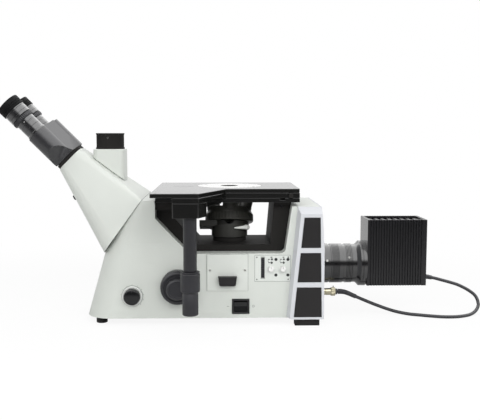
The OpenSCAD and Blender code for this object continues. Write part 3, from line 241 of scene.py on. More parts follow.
# Aluminium casting, powder coated and baked: an even skin with a fine orange peel and a soft sheen
STAND_WHITE = Finish("powder_coated_casting_white", "white_paint", "D8DCD6", "D4D8D2", 0.42, Grain.CAST, 1.1, 0.10)
# The same coat on the head's casting, a touch lighter: painted light for its tapered sides, which face up into the
# light, and so the joint shows
HEAD_WHITE_PAINTED_LIGHTER = Finish("powder_coated_white_painted_lighter", "white_paint", "DCE0DA", "D8DCD6", 0.40, Grain.CAST, 1.1, 0.10)
# Aluminium plate, sprayed and printed: flatter and smoother than the castings, so its prints look crisp
PLATE_WHITE = Finish("painted_aluminium_plate_white", "cover_paint", "DDE1DC", "D9DDD8", 0.38, Grain.CAST, 1.0, 0.05)
# Pressed cover, powder coated in a cooler white: reads bluish beside the stand
COVER_WHITE = Finish("powder_coated_cover_cool_white", "cover_paint", "D5D7DB", "D1D3D7", 0.40, Grain.CAST, 1.0, 0.08)
# Cast frame, painted dead matt against stray light: no highlight, only a slight lift at its edges
FRAME_BLACK = Finish("matt_black_painted_casting", "black_paint", "282726", "2C2B2A", 0.62, Grain.CAST, 0.9, 0.15,
                     specular=0.05)
# Turned aluminium, anodised satin black: warm dark grey that catches the light on its knurls
NOSE_BLACK = Finish("satin_black_anodised_aluminium", "black_paint", "44443F", "494944", 0.34, Grain.CAST, 0.7, 0.10,
                    specular=0.6)
# Milled aluminium, painted black: a shade darker and duller than the turned parts above it
BASE_BLACK = Finish("black_painted_milled_aluminium", "black_paint", "343431", "393936", 0.40, Grain.CAST, 0.7, 0.10)
# Die cast aluminium, anodised black: fins with sharp lit edges and a near black face
LAMP_BLACK = Finish("black_anodised_die_cast_aluminium", "black_paint", "0F0F12", "131316", 0.24, Grain.CAST, 0.6,
                    0.06, specular=0.55)
# Turned aluminium, anodised and lacquered: a deep black with one long, bright streak along its top
GLOSS_BLACK = Finish("lacquered_black_turned_aluminium", "black_paint", "0C0C0D", "101011", 0.20, Grain.MOULDED, 0.4,
                     0.03, specular=1.0, coat=0.4)
# Ground aluminium plate, anodised hard black: black face on, and a pale mirror at a graze
STAGE_BLACK = Finish("hard_anodised_ground_aluminium", "black_paint", "0D0D0C", "10100F", 0.20, Grain.BRUSHED, 0.5,
                     0.03, coat=0.4)
# Moulded ABS with an etched grain: plain matt black
PANEL_BLACK = Finish("moulded_abs_matt_black", "black_plastic", "121011", "161415", 0.52, Grain.MOULDED, 0.7)
# Moulded ABS from a polished tool: a gloss that mirrors its surroundings
SWITCH_BLACK = Finish("moulded_abs_gloss_black", "black_plastic", "101112", "141516", 0.20)
# Cast housing, painted satin black: grey sheen on the faces that look up
PRISM_GREY = Finish("satin_black_painted_casting", "knob_plastic", "232326", "27272A", 0.34, Grain.MOULDED, 0.8, 0.08,
                    specular=0.9)
# Moulded ABS knobs with a fine grain: soft dark grey with ribs that catch the light
KNOB_GREY = Finish("moulded_abs_knob_grey", "knob_plastic", "242427", "28282C", 0.42, Grain.MOULDED, 0.5, 0.14)
# Moulded silicone rubber: dull black with hardly any highlight
RUBBER = Finish("moulded_silicone_rubber", "rubber", "0F0F10", "141415", 0.64, Grain.MOULDED, 0.4, 0.10,
                specular=0.12)
# Moulded hard rubber feet: black and dusty dull
FOOT_RUBBER = Finish("moulded_foot_rubber", "rubber", "121212", "181818", 0.75, Grain.MOULDED, 0.6, 0.15)
# Stainless steel ground in rings about the optical axis: bright white, with a faint sweep of light
INSERT_STEEL = Finish("ground_stainless_steel", "steel", "FAFAF8", "F4F4F2", 0.18, Grain.TURNED, 0.5, 0.04,
                      metallic=1.0, centre=(-AXIS_X * MM, -AXIS_Y * MM, 0.0))
# Brass turned and plated with satin nickel: warm silver with a soft streak
SATIN_NICKEL = Finish("satin_nickel_plated_brass", "aluminium", "C9C8C4", "BBBAB6", 0.28, Grain.MOULDED, 0.3, 0.05,
                      metallic=1.0)
# Oiled steel screws: mid grey dots
SCREW_STEEL = Finish("oiled_screw_steel", "steel", "8E8E8C", "7E7E7C", 0.30, Grain.MOULDED, 0.3, 0.05, metallic=1.0)
# Turned aluminium, black with a clear lacquer: black below and almost white where it faces up
EYE_METAL = Finish("lacquered_black_eyepiece_aluminium", "aluminium", "1C1C1E", "222224", 0.20, Grain.MOULDED, 0.3,
                   0.04, specular=1.0, coat=0.8)
# Turned aluminium, dyed dark grey: a dim metal sheen
DARK_METAL = Finish("dark_anodised_aluminium", "aluminium", "4A4A4D", "404043", 0.30, Grain.MOULDED, 0.3, 0.05,
                    metallic=0.75)
# Blasted aluminium with a clear lacquer: pale and even, like frosted silver
BEZEL_METAL = Finish("blasted_clear_lacquered_aluminium", "aluminium", "F2F4F0", "ECEEEA", 0.26, Grain.MOULDED, 0.3,
                     0.04, metallic=0.1, specular=0.8)
# Brass turned and thinly nickelled: silver with the yellow of the brass in it
PLUG_NICKEL = Finish("thin_nickel_on_turned_brass", "brass", "DAD5BE", "C9C3AA", 0.30, Grain.MOULDED, 0.3, 0.05,
                     metallic=1.0)
# Turned bare brass: deep gold
BRASS = Finish("turned_brass", "brass", "C2A462", "A98C4E", 0.30, Grain.MOULDED, 0.3, 0.05, metallic=1.0)
# Polished crown glass: clear, with a faint violet
LENS = Finish("polished_crown_glass", "glass", "B9B4C8", "A8A4BC", 0.05, clear=True)
# Polished glass with a coating against reflections, over a dark barrel: near black with violet glints
LENS_COAT = Finish("coated_glass_over_dark_barrel", "glass", "1A1422", "221A2C", 0.06, specular=0.9)
# Glass-filled epoxy board: dull green
BOARD = Finish("epoxy_circuit_board", "circuit", "1E4A2C", "173D24", 0.45, Grain.MOULDED)
# Extruded PVC: dark grey with a soft line of light along the cable
CABLE_PVC = Finish("extruded_pvc", "rubber", "2C2C2F", "333337", 0.40, Grain.MOULDED, 0.5, 0.10)
# Turned aluminium, anodised clear and blasted: small bright discs
WHITE_KNOB = Finish("clear_anodised_aluminium", "aluminium", "F0F0EE", "E8E8E6", 0.30, Grain.MOULDED, 0.4, 0.04)
# Pad-printed ink: thin, flat and dull. The grey also paints shadow lines round the cover, the panel and the dimmer,
# and the dark paints shade in the stage's groove and the insert's grip holes
INK_AND_SHADOW_GREY = Finish("printed_ink_and_painted_shadow_grey", "black_plastic", "6E7470", "6A706C", 0.5)
INK_AND_SHADE_DARK = Finish("printed_ink_and_painted_shade_dark", "black_plastic", "262828", "2B2D2D", 0.5)
INK_WHITE = Finish("printed_ink_white", "white_paint", "D8D8D6", "D2D2D0", 0.5)
# Enamel filled into a groove round each objective: a clear colour that tells its power
BAND_RED = Finish("enamel_red", "aluminium", "B03028", "A82C26", 0.4)
BAND_YELLOW = Finish("enamel_yellow", "aluminium", "D8B428", "CCA824", 0.4)
BAND_GREEN = Finish("enamel_green", "aluminium", "3C8C46", "388440", 0.4)
BAND_BLUE = Finish("enamel_blue", "aluminium", "3C78B8", "3870AE", 0.4)

# Every CAD node's finish
NODE_FINISH: dict[str, Finish] = {node: finish for finish, nodes in (
    (STAND_WHITE, "stand_housing"), (HEAD_WHITE_PAINTED_LIGHTER, "head_housing port_column module_cover"),
    (COVER_WHITE, "rear_cover"), (PLATE_WHITE, "control_panel"), (FOOT_RUBBER, "feet"),
    (FRAME_BLACK, "bottom_plate stage_frame stage_lock_screw guide_collar nosepiece_carriage illuminator_tube "
                  "relay_optics photo_tube binocular_mount"),
    (STAGE_BLACK, "stage_base stage_carriage stage_top drive_housing"), (INSERT_STEEL, "stage_insert"),
    (KNOB_GREY, "drive_sleeve y_knob x_knob coarse_knobs fine_knobs right_diopter_ring left_diopter_ring"),
    (PANEL_BLACK, "side_panels mains_inlet turret_plug filter_cube analyser_slider dimmer_knob path_selector"),
    (SWITCH_BLACK, "power_switch_frame power_rocker"), (BEZEL_METAL, "dimmer_bezel"),
    (BASE_BLACK, "nosepiece_base"), (NOSE_BLACK, "turret"), (BRASS, "focus_pinion lamp_connector"),
    (SATIN_NICKEL, "objective_5x objective_10x objective_20x objective_50x"),
    (DARK_METAL, "focus_bushes right_eyepiece left_eyepiece"), (WHITE_KNOB, "field_iris_knob aperture_iris_knob"),
    (PRISM_GREY, "right_prism_housing left_prism_housing"), (BOARD, "power_supply"), (GLOSS_BLACK, "lamp_tube"),
    (LAMP_BLACK, "lamphouse lamphouse_cap"), (LENS, "lamp_collector lamp_bulb"), (CABLE_PVC, "lamp_cable"),
) for node in nodes.split()}


def body_of(node: str) -> str:
    """The body that a CAD node rides on."""
    return frame["nodes"][node]["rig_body"]


@dataclass(frozen=True)
class Axis:
    """A line about which turned pieces are made, in millimetres about the optical axis."""

    origin: Point
    along: Point

    def frame(self) -> tuple[np.ndarray, np.ndarray, np.ndarray, np.ndarray]:
        """Three unit vectors at the axis, each square to the other two.

        Returns:
            The origin in metres, two vectors across the axis and one along it.
        """
        w = np.array(self.along) / np.linalg.norm(self.along)
        help_to = np.array([0.0, 1.0, 0.0]) if abs(w[1]) < 0.9 else np.array([1.0, 0.0, 0.0])
        u = np.cross(help_to, w)
        u /= np.linalg.norm(u)
        return np.array(place(*self.origin)), u, np.cross(w, u), w


def near_axis(x: float, z: float) -> Axis:
    """An axis that stands out from the near side's face."""
    return Axis((x, -HALF_W, z), (0, -1, 0))


@dataclass(frozen=True)
class Grip:
    """Ribs round a turned piece: how many, how high, and between which places along its axis."""

    ribs: int
    rib_mm: float
    start: float
    end: float


@dataclass(frozen=True)
class Part:
    """A new piece: its name, its finish, the CAD body it moves with, and the CAD nodes it stands for."""

    name: str
    finish: Finish
    body: str = "stand"
    replaces: tuple[str, ...] = ()

    def made(self, points: np.ndarray, faces: list[list[int]]) -> bpy.types.Object:
        """Puts points and faces into the piece's mesh, merges doubles and turns its faces outwards.

        Args:
            points: N by 3 array in metres, in the row frame.
            faces: lists of point numbers.

        Returns:
            The new object, in the scene.
        """
        mesh = bpy.data.meshes.new(self.name)
        mesh.from_pydata(points.tolist(), [], faces)
        work = bmesh.new()
        work.from_mesh(mesh)
        bmesh.ops.remove_doubles(work, verts=work.verts, dist=SAME_POINT)
        bmesh.ops.recalc_face_normals(work, faces=work.faces)
        work.to_mesh(mesh)
        work.free()
        mesh.shade_smooth()
        mesh.set_sharp_from_angle(angle=math.radians(35))
        mesh.materials.append(self.finish.material())
        made = bpy.data.objects.new(self.name, mesh)
        bpy.context.scene.collection.objects.link(made)
        if self.replaces:
            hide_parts(*self.replaces)
        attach(made, self.body)
        LOG.info("%s: %d faces on %s", self.name, len(faces), self.body)
        return made

    def ringed(self, rings: np.ndarray, bored: bool = False) -> bpy.types.Object:
        """Joins a stack of rings by quads, closed by flat ends or, when bored, by its own inner wall.

        Args:
            rings: rows by sides by 3 array in metres.
            bored: whether the last ring joins the first.

        Returns:
            The new object.
        """
        rows, sides = rings.shape[:2]
        i, k = np.meshgrid(np.arange(rows if bored else rows - 1), np.arange(sides), indexing="ij")
        j, m = (i + 1) % rows, (k + 1) % sides
        faces = np.stack([i * sides + k, i * sides + m, j * sides + m, j * sides + k], axis=-1).reshape(-1, 4).tolist()
        if not bored:
            faces.append(list(range(sides - 1, -1, -1)))
            faces.append(list(range((rows - 1) * sides, rows * sides)))
        return self.made(rings.reshape(-1, 3), faces)

    def swept(self, path: np.ndarray, radii: np.ndarray, sides: int) -> bpy.types.Object:
        """A round tube along a path: each point is path + radius (cos a u + sin a v).

        u is square to the path and to Y, and v to both, so rings don't twist.

        Args:
            path: N by 3 array in metres.
            radii: N radii in metres.
            sides: points round each ring.

        Returns:
            The new object.
        """
        tangent = np.gradient(path, axis=0)
        tangent /= np.linalg.norm(tangent, axis=1, keepdims=True)
        side = np.cross(tangent, [0.0, 1.0, 0.0])
        u = side / np.linalg.norm(side, axis=1, keepdims=True)
        v = np.cross(tangent, u)
        a = np.linspace(0, 2 * np.pi, sides, endpoint=False)
        return self.ringed(path[:, None] + radii[:, None, None] * (np.cos(a)[None, :, None] * u[:, None]
                                                                   + np.sin(a)[None, :, None] * v[:, None]))

    def turned(self, axis: Axis, profile: Profile, bored: bool = False, sides: int = 72,
               grip: Grip | None = None) -> bpy.types.Object:
        """A turned piece: point = origin + t w + r (cos a u + sin a v), for each (r, t) of its profile.

        Between the two ends of the grip, r also gains half the rib height on every other stretch of the
        turn. Ribs stand only on the outermost 3 mm of the profile, and a sine that is cut off at 1 gives
        them flat tops.

        Args:
            axis: the piece's axis.
            profile: its outline, in pairs of r and t in millimetres.
            bored: whether the outline closes on itself round a hole.
            sides: points round each ring, or six for each rib where that is more.
            grip: its ribs.

        Returns:
            The new object.
        """
        origin, u, v, w = axis.frame()
        prof = np.array(profile, float)
        count = max(sides, grip.ribs * 6 if grip else 0)
        a = np.linspace(0, 2 * np.pi, count, endpoint=False)
        radius = np.repeat(np.maximum(prof[:, :1], 0.01), count, axis=1)
        if grip:
            inside = (prof[:, 1] >= grip.start) & (prof[:, 1] <= grip.end)
            outer = inside & (prof[:, 0] > prof[:, 0].max() - 3.0)
            radius = radius + outer[:, None] * np.clip(np.sin(a * grip.ribs) * 2.5, -1, 1) * grip.rib_mm / 2
        return self.ringed(origin + MM * (prof[:, 1][:, None, None] * w
                                          + radius[..., None] * (np.cos(a)[:, None] * u + np.sin(a)[:, None] * v)),
                           bored)

    def slab(self, low: Point, high: Point, round_mm: float = 0.0) -> bpy.types.Object:
        """A block: each of its eight points takes each coordinate from one of two corners.

        Args:
            low: the corner with the least coordinates, in millimetres about the optical axis.
            high: the corner with the greatest ones.
            round_mm: radius of its edges, 0 for sharp ones.

        Returns:
            The new object.
        """
        pick = np.stack(np.meshgrid([0, 1], [0, 1], [0, 1], indexing="ij"), axis=-1).reshape(-1, 3)
        made = self.made(np.where(pick, np.array(place(*high)), np.array(place(*low))),
                         [[0, 1, 3, 2], [4, 6, 7, 5], [0, 4, 5, 1], [2, 3, 7, 6], [0, 2, 6, 4], [1, 5, 7, 3]])
        if round_mm:
            soften(made, round_mm, 3)
        return made

    def screw(self, at: Point, along: Point, head_r: float, head_h: float) -> bpy.types.Object:
        """A cap screw's head with a socket, sunk 0.2 mm into the face it stands on.

        Args:
            at: its place on the face, in millimetres about the optical axis.
            along: the way it faces.
            head_r: radius of the head.
            head_h: height of the head.

        Returns:
            The new object.
        """
        well = head_r * 0.5
        return self.turned(Axis(at, along), [(0, head_h * 0.3), (well, head_h * 0.35), (well, head_h),
                                             (head_r - 0.25, head_h), (head_r, head_h - 0.25), (head_r, -0.2),
                                             (0, -0.2)], sides=32)


def grooves(start: float, end: float, radius: float, depth: float, pitch: float) -> Profile:
    """Outline of a barrel with V grooves: each V's floor stands at start + (k + 0.5) pitch.

    Args:
        start: where the barrel starts along its axis, in millimetres.
        end: where it ends.
        radius: the barrel's radius.
        depth: how deep the grooves are.
        pitch: from one groove to the next.

    Returns:
        The profile's points.
    """
    floors = start + (np.arange(int((end - start) / pitch)) + 0.5) * pitch
    along = (floors[:, None] + [-0.35, 0.0, 0.35]).ravel()
    radii = np.tile([radius, radius - depth, radius], len(floors))
    return [(radius, start), *zip(radii.tolist(), along.tolist()), (radius, end)]


def soften(made: bpy.types.Object, radius: float, steps: int) -> None:
    """Rounds a piece's edges with a bevel, which stays live.

    Args:
        made: the piece.
        radius: radius of the rounding, in millimetres.
        steps: segments across it.
    """
    bevel = made.modifiers.new("edge", "BEVEL")
    bevel.width = radius * MM
    bevel.segments = steps
    bevel.limit_method = "ANGLE"
    bevel.angle_limit = math.radians(32)
    bevel.use_clamp_overlap = True
    even_normals(made)


def even_normals(made: bpy.types.Object) -> None:
    """Weights a piece's normals by face area, so that its flats shade flat.

    Args:
        made: the piece.
    """
    weigh = made.modifiers.new("flats", "WEIGHTED_NORMAL")
    weigh.weight = 100
    weigh.keep_sharp = True


@dataclass
class CadDress:
    """Gives every CAD node its finish, and rounds the edges of the castings and plates."""

    # castings with their own roundings, which only get even flats
    even: tuple[str, ...] = ("head_housing", "stand_housing")
    # edge radius in millimetres, segments across it, and the nodes that get them
    rounded: tuple[tuple[float, int, str], ...] = (
        (2.2, 3, "rear_cover"), (1.2, 2, "analyser_slider"),
        (1.0, 2, "stage_frame port_column right_prism_housing left_prism_housing"),
        (0.8, 2, "drive_housing nosepiece_base feet"), (0.7, 2, "stage_top module_cover"),
        (0.6, 2, "binocular_mount"), (0.35, 2, "side_panels"), (0.3, 1, "control_panel turret"),
        (0.5, 2, "stage_base stage_carriage power_rocker power_switch_frame mains_inlet path_selector"),
        (0.25, 1, "lamphouse"))

    def build(self) -> None:
        """Gives all nodes their materials and makes the even and the rounded copies."""
        for name, node in frame["nodes"].items():
            node.data.materials.clear()
            node.data.materials.append(NODE_FINISH[name].material())
            node.data.shade_smooth()
            node.data.set_sharp_from_angle(angle=math.radians(28))
        for name in self.even:
            even_normals(self.copy_of(name))
        for radius, steps, names in self.rounded:
            for name in names.split():
                soften(self.copy_of(name), radius, steps)

    def copy_of(self, name: str) -> bpy.types.Object:
        """Copies a node, merges its loose triangles into flat faces, and stands the copy in its place.

        Args:
            name: the CAD node.

        Returns:
            The piece that stands for the node.
        """
        node = frame["nodes"][name]
        mesh = node.data.copy()
        work = bmesh.new()
        work.from_mesh(mesh)
        bmesh.ops.remove_doubles(work, verts=work.verts, dist=2 * SAME_POINT)
        bmesh.ops.dissolve_limit(work, angle_limit=math.radians(0.6), verts=work.verts, edges=work.edges)
        work.to_mesh(mesh)
        work.free()
        made = bpy.data.objects.new(name + "_skin", mesh)
        bpy.context.scene.collection.objects.link(made)
        mesh.shade_smooth()
        mesh.set_sharp_from_angle(angle=math.radians(30))
        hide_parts(name)
        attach(made, node["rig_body"])
        LOG.info("%s: dressed copy of the node", made.name)
        return made


@dataclass
class Knobs:
    """Focus knobs, stage drive knobs and the dimmer, all turned with ribbed grips."""

    focus: tuple[float, float] = (-84.0, 64.5)
    drive: tuple[float, float] = (-61.4, -163.0)
    coarse_r: float = 26.9
    coarse_len: float = 22.0
    fine_r: float = 16.6
    fine_len: float = 14.0
    run_gap: float = 0.3
    sleeve_r: float = 10.2

    def build(self) -> None:
        """Makes all the knobs."""
        for side, word in ((-1, "near"), (1, "far")):
            self.focus_side(side, word)
        self.stage_drive()
        self.dimmer_set()

    def focus_side(self, side: int, word: str) -> None:
        """The coarse and fine knob of one side, each with half of its shaft.

        Args:
            side: -1 for the near side, 1 for the far side.
            word: the side's name in the pieces' names.
        """
        axis = Axis((self.focus[0], 0, self.focus[1]), (0, side, 0))
        c0 = HALF_W + 1.8
        c1 = c0 + self.coarse_len
        f0 = c1 + self.run_gap
        f1 = f0 + self.fine_len
        c, f = self.coarse_r, self.fine_r
        coarse = [(2.56, 0), (4.2, 0), (4.2, c0), (c - 2.9, c0), (c - 0.3, c0 + 1.4), (c, c0 + 2.2), (c, c1 - 4.2),
                  (c - 0.3, c1 - 3.6), (c - 2.3, c1 - 0.6), (c - 3.7, c1), (c - 5.3, c1), (c - 6.1, c1 - 0.9),
                  (c - 7.5, c1 - 0.9), (c - 8.1, c1), (2.56, c1)]
        Part("coarse_knob_" + word, KNOB_GREY, "coarse_body", ("coarse_knobs",)).turned(
            axis, coarse, bored=True, grip=Grip(60, 0.9, c0 + 2, c1 - 4))
        fine = [(0, 0), (2.5, 0), (2.5, f0), (f - 1.6, f0), (f, f0 + 1.2), (f, f1 - 3.6), (f - 1.4, f1 - 0.8),
                (f - 2.6, f1), (f - 4.2, f1), (f - 4.8, f1 - 0.7), (0, f1 - 0.7)]
        Part("fine_knob_" + word, KNOB_GREY, "fine_body", ("fine_knobs",)).turned(
            axis, fine, grip=Grip(44, 0.7, f0 + 1, f1 - 3))

    def stage_drive(self) -> None:
        """The two hanging knobs with their shafts and drums, and the sleeve above them."""
        axis, r = Axis((*self.drive, 0), (0, 0, 1)), self.sleeve_r
        upper = [(3.56, 70.7), (13.6, 70.7), (14.8, 71.9), (14.8, 97.6), (14.2, 98.4), (13.4, 98.8), (13.4, 99.8),
                 (14.6, 100.4), (14.4, 101.4), (6.5, 101.7), (6.5, 187.5), (9.2, 187.5), (9.2, 192), (3.56, 192)]
        Part("y_knob_skin", KNOB_GREY, "y_knob_body", ("y_knob",)).turned(axis, upper, bored=True,
                                                                          grip=Grip(36, 0.5, 73, 97))
        lower = [(0, 34.5), (10.6, 34.5), (12.2, 36), (12.2, 67.2), (11.7, 68), (11.7, 69.4), (12.2, 70.4),
                 (3.5, 70.4), (3.5, 192.5), (8.8, 192.5), (8.8, 197), (0, 197)]
        Part("x_knob_skin", KNOB_GREY, "x_knob_body", ("x_knob",)).turned(axis, lower, grip=Grip(32, 0.5, 37, 67))
        Part("drive_sleeve_skin", KNOB_GREY, body_of("drive_sleeve"), ("drive_sleeve",)).turned(
            axis, [(6.55, 102), (r - 0.6, 102), (r, 102.6), (r, 183), (6.55, 183)], bored=True)

    def dimmer_set(self) -> None:
        """The dimmer's bright bezel and its dark ribbed knob with a short pointer near the rim."""
        axis, (x, z) = near_axis(*DIMMER), DIMMER
        bezel = [(4, 0.1), (16.5, 0.1), (16.5, 1.7), (15.9, 2.4), (14.9, 2.4), (14.5, 1.6), (4, 1.6)]
        Part("dimmer_bezel_skin", BEZEL_METAL, replaces=("dimmer_bezel",)).turned(axis, bezel, bored=True)
        knob = [(0, -18), (3.2, -18), (3.2, 1.8), (13.3, 1.8), (13.3, 2.4), (12.9, 9.6), (12, 11), (10.6, 11.7),
                (0, 11.7)]
        Part("dimmer_knob_skin", SWITCH_BLACK, "dimmer_body", ("dimmer_knob",)).turned(
            axis, knob, grip=Grip(40, 0.6, 2.2, 9.8))
        Part("dimmer_pointer", KNOB_GREY, "dimmer_body").slab((x - 0.25, -HALF_W - 11.74, z + 7.6),
                                                             (x + 0.25, -HALF_W - 11.6, z + 10.2))


@dataclass(frozen=True)
class Objective:
    """One objective: its node, its seat on the turret, and the sizes that differ, in millimetres."""

    node: str
    seat: int
    working_distance: float
    nose_r: float
    band: Finish


@dataclass
class Nosepiece:
    """The objectives: black knurled barrels with a colour band, a nickel nose and a coated front lens."""

    tilt_deg: float = 15.0
    circle_r: float = 28.0
    seats: int = 5
    turret_z: float = 184.9
    specimen_h: float = 34.2
    objectives: tuple[Objective, ...] = (
        Objective("objective_10x", 0, 10.0, 6.0, BAND_YELLOW), Objective("objective_20x", 1, 7.0, 5.5, BAND_GREEN),
        Objective("objective_50x", 2, 5.0, 5.0, BAND_BLUE), Objective("objective_5x", 4, 14.0, 8.0, BAND_RED))

    def axis_at(self, number: int) -> Axis:
        """The axis of one seat of the turret.

        All the axes meet in one point below, on the turret's own axis, which leans by the tilt, so the
        first seat's axis stands upright.

        Args:
            number: the seat, counted from the upright one.

        Returns:
            The axis, whose origin lies on the turret's face.
        """
        tilt, turn = math.radians(self.tilt_deg), math.radians(90 + 360 / self.seats * number)
        reach = self.circle_r / math.tan(tilt)
        own = Vector((-self.circle_r * math.cos(turn), -self.circle_r * math.sin(turn), reach))
        way = Vector((-math.sin(tilt) * math.cos(turn), -math.sin(tilt) * math.sin(turn), math.cos(tilt)))
        lean = Matrix.Rotation(-tilt, 3, "X")
        apex = self.turret_z - self.circle_r / math.sin(tilt)
        at = lean @ own
        return Axis((at.x, at.y, at.z + apex), tuple(lean @ way))

    def build(self) -> None:
        """Makes the four objectives and the lever that clamps the nosepiece."""
        self.clamp()
        for objective in self.objectives:
            self.one(objective)

    def clamp(self) -> None:
        """The clamp's stud and its bright tapered lever, which point towards the user's right hand; the lever's near
        white also paints the bright glint under the nosepiece.
        """
        Part("clamp_stud", BEZEL_METAL, "lift_body").turned(
            Axis((23.4, -19.8, 151), (0.764, -0.645, 0)),
            [(0, 0), (2, 0), (2, 3.5), (4.2, 4), (4.2, 9.6), (3.5, 10.6), (0, 10.6)], sides=32)
        # near white, so the lever also paints a highlight: the bright glint under the nosepiece
        Part("clamp_lever_painted_glint", BEZEL_METAL, "lift_body").turned(
            Axis((29.5, -23.9, 151), (-23.5, -11.6, 0.3)),
            [(0, -2.8), (2.6, -2.4), (3.6, 0), (3.5, 5), (2.4, 14), (1.2, 23), (0.7, 24.4), (0, 24.7)], sides=32)

    def one(self, objective: Objective) -> None:
        """One objective in four pieces: barrel, nose cone, colour band and front lens.

        Args:
            objective: which one.
        """
        axis, nose = self.axis_at(objective.seat), objective.nose_r
        tip = self.specimen_h - objective.working_distance
        barrel = [(6.5, -14.5), (10.1, -14.5), (10.1, -10), (11.7, -10), (12, -9.6), (12, -3), (11.7, -2.6),
                  (11.7, -1.8), (12, -1.4), (12, 1.2), (11.5, 2), (11.5, tip - 11), (6.5, tip - 11)]
        cone = [(6.4, tip - 11), (11.3, tip - 11), (10.9, tip - 10), (nose + 2.1, tip - 5.2),
                (nose + 1.5, tip - 4.6), (nose + 0.4, tip - 0.4), (nose, tip), (nose - 2.0, tip),
                (nose - 2.6, tip - 1.2)]
        band = [(11.4, tip - 15), (11.62, tip - 15), (11.62, tip - 12.8), (11.4, tip - 12.8)]
        lens = [(0, tip - 2.2), (nose - 2.3, tip - 2.2), (nose - 2.4, tip - 1.2), (nose * 0.4, tip - 0.9),
                (0, tip - 0.8)]
        node, body = objective.node, "turret_body"
        Part(node + "_barrel", NOSE_BLACK, body, (node,)).turned(axis, barrel, bored=True,
                                                                 grip=Grip(64, 0.35, -9.8, -2.8))
        Part(node + "_cone", SATIN_NICKEL, body).turned(axis, cone, bored=True)
        Part(node + "_band", objective.band, body).turned(axis, band, bored=True)
        Part(node + "_lens", LENS_COAT, body).turned(axis, lens, sides=48)


@dataclass
class Binocular:
    """The eyepieces and their focusing rings, along axes that lean back by 45 degrees."""

    # a point on the middle plane, and how far the eyepieces' axes lie in front of it
    flange: tuple[float, float] = (-264.7, 265.3)
    across: float = -4.4
    half_eyes: float = 32.0
    cup_r: float = 20.05

    def build(self) -> None:
        """Makes both eyepieces."""
        shift = self.across * EYE_LEAN
        for side, word in ((-1, "right"), (1, "left")):
            axis = Axis((self.flange[0] + shift, side * self.half_eyes, self.flange[1] + shift),
                        (-EYE_LEAN, 0, EYE_LEAN))
            self.one(axis, side, word)

    def one(self, axis: Axis, side: int, word: str) -> None:
        """One eyepiece: barrel, rubber cup, eye lens, focusing ring and its white index dot.

        Args:
            axis: the eye tube's axis.
            side: -1 for the right eye, 1 for the left one.
            word: the side's name in the pieces' names.
        """
        c = self.cup_r
        body = word + "_eye_body"
        barrel = [(12.2, 66.1), (17, 66.1), (17, 68.6), (16.6, 69), *grooves(69.5, 86, 16, 0.3, 16.5),
                  (15.6, 86.4), (15.6, 87.6), (16, 88), (16, 101.8), (18.4, 101.8), (18.9, 102.3), (18.9, 105.6),
                  (18.3, 106), (18.3, 107.2), (18.9, 107.6), (18.9, 113.6), (18.2, 114), (18.2, 115),
                  (18.9, 115.4), (18.9, 117.4), (14, 117.4), (14, 112.5), (12.2, 112.5)]
        Part(word + "_eye_barrel", EYE_METAL, body, (word + "_eyepiece",)).turned(axis, barrel, bored=True, sides=96)
        cup = [(15, 117), (19.2, 117), (c - 0.3, 117.6), (c, 118.6), (c, 120.6), (c - 0.6, 121), (c - 0.6, 121.8),
               (c, 122.2), (c, 124.2), (c - 0.6, 124.6), (c - 0.6, 125.4), (c, 125.8), (c, 132.6), (c - 0.5, 133.6),
               (c - 1.4, 134), (c - 2.4, 133.5), (c - 3.4, 130.4), (15, 120.5)]
        Part(word + "_eyecup", RUBBER, body).turned(axis, cup, bored=True, sides=96)
        lens = [(0, 107.5), (12.1, 108.5), (12.1, 110.5), (8, 111.9), (0, 112.4)]
        Part(word + "_eye_lens", LENS_COAT, body).turned(axis, lens, sides=64)
        ring = [(16.05, 94), (17.4, 94), (18.2, 94.8), (18.45, 95.2), (18.45, 100.3), (18.2, 100.7), (17.4, 101.5),
                (16.05, 101.5)]
        Part(word + "_diopter_grip", KNOB_GREY, word + "_diopter_body", (word + "_diopter_ring",)).turned(
            axis, ring, bored=True, grip=Grip(36, 0.7, 95, 100.5))
        x, y, z = axis.origin
        up = 90.5 * EYE_LEAN
        spot = Axis((x - up, y + side * 15.93, z + up), (0, side, 0))
        Part(word + "_index_dot", INK_WHITE, body).turned(spot, [(0, 0), (0.7, 0), (0.7, 0.12), (0, 0.12)], sides=20)


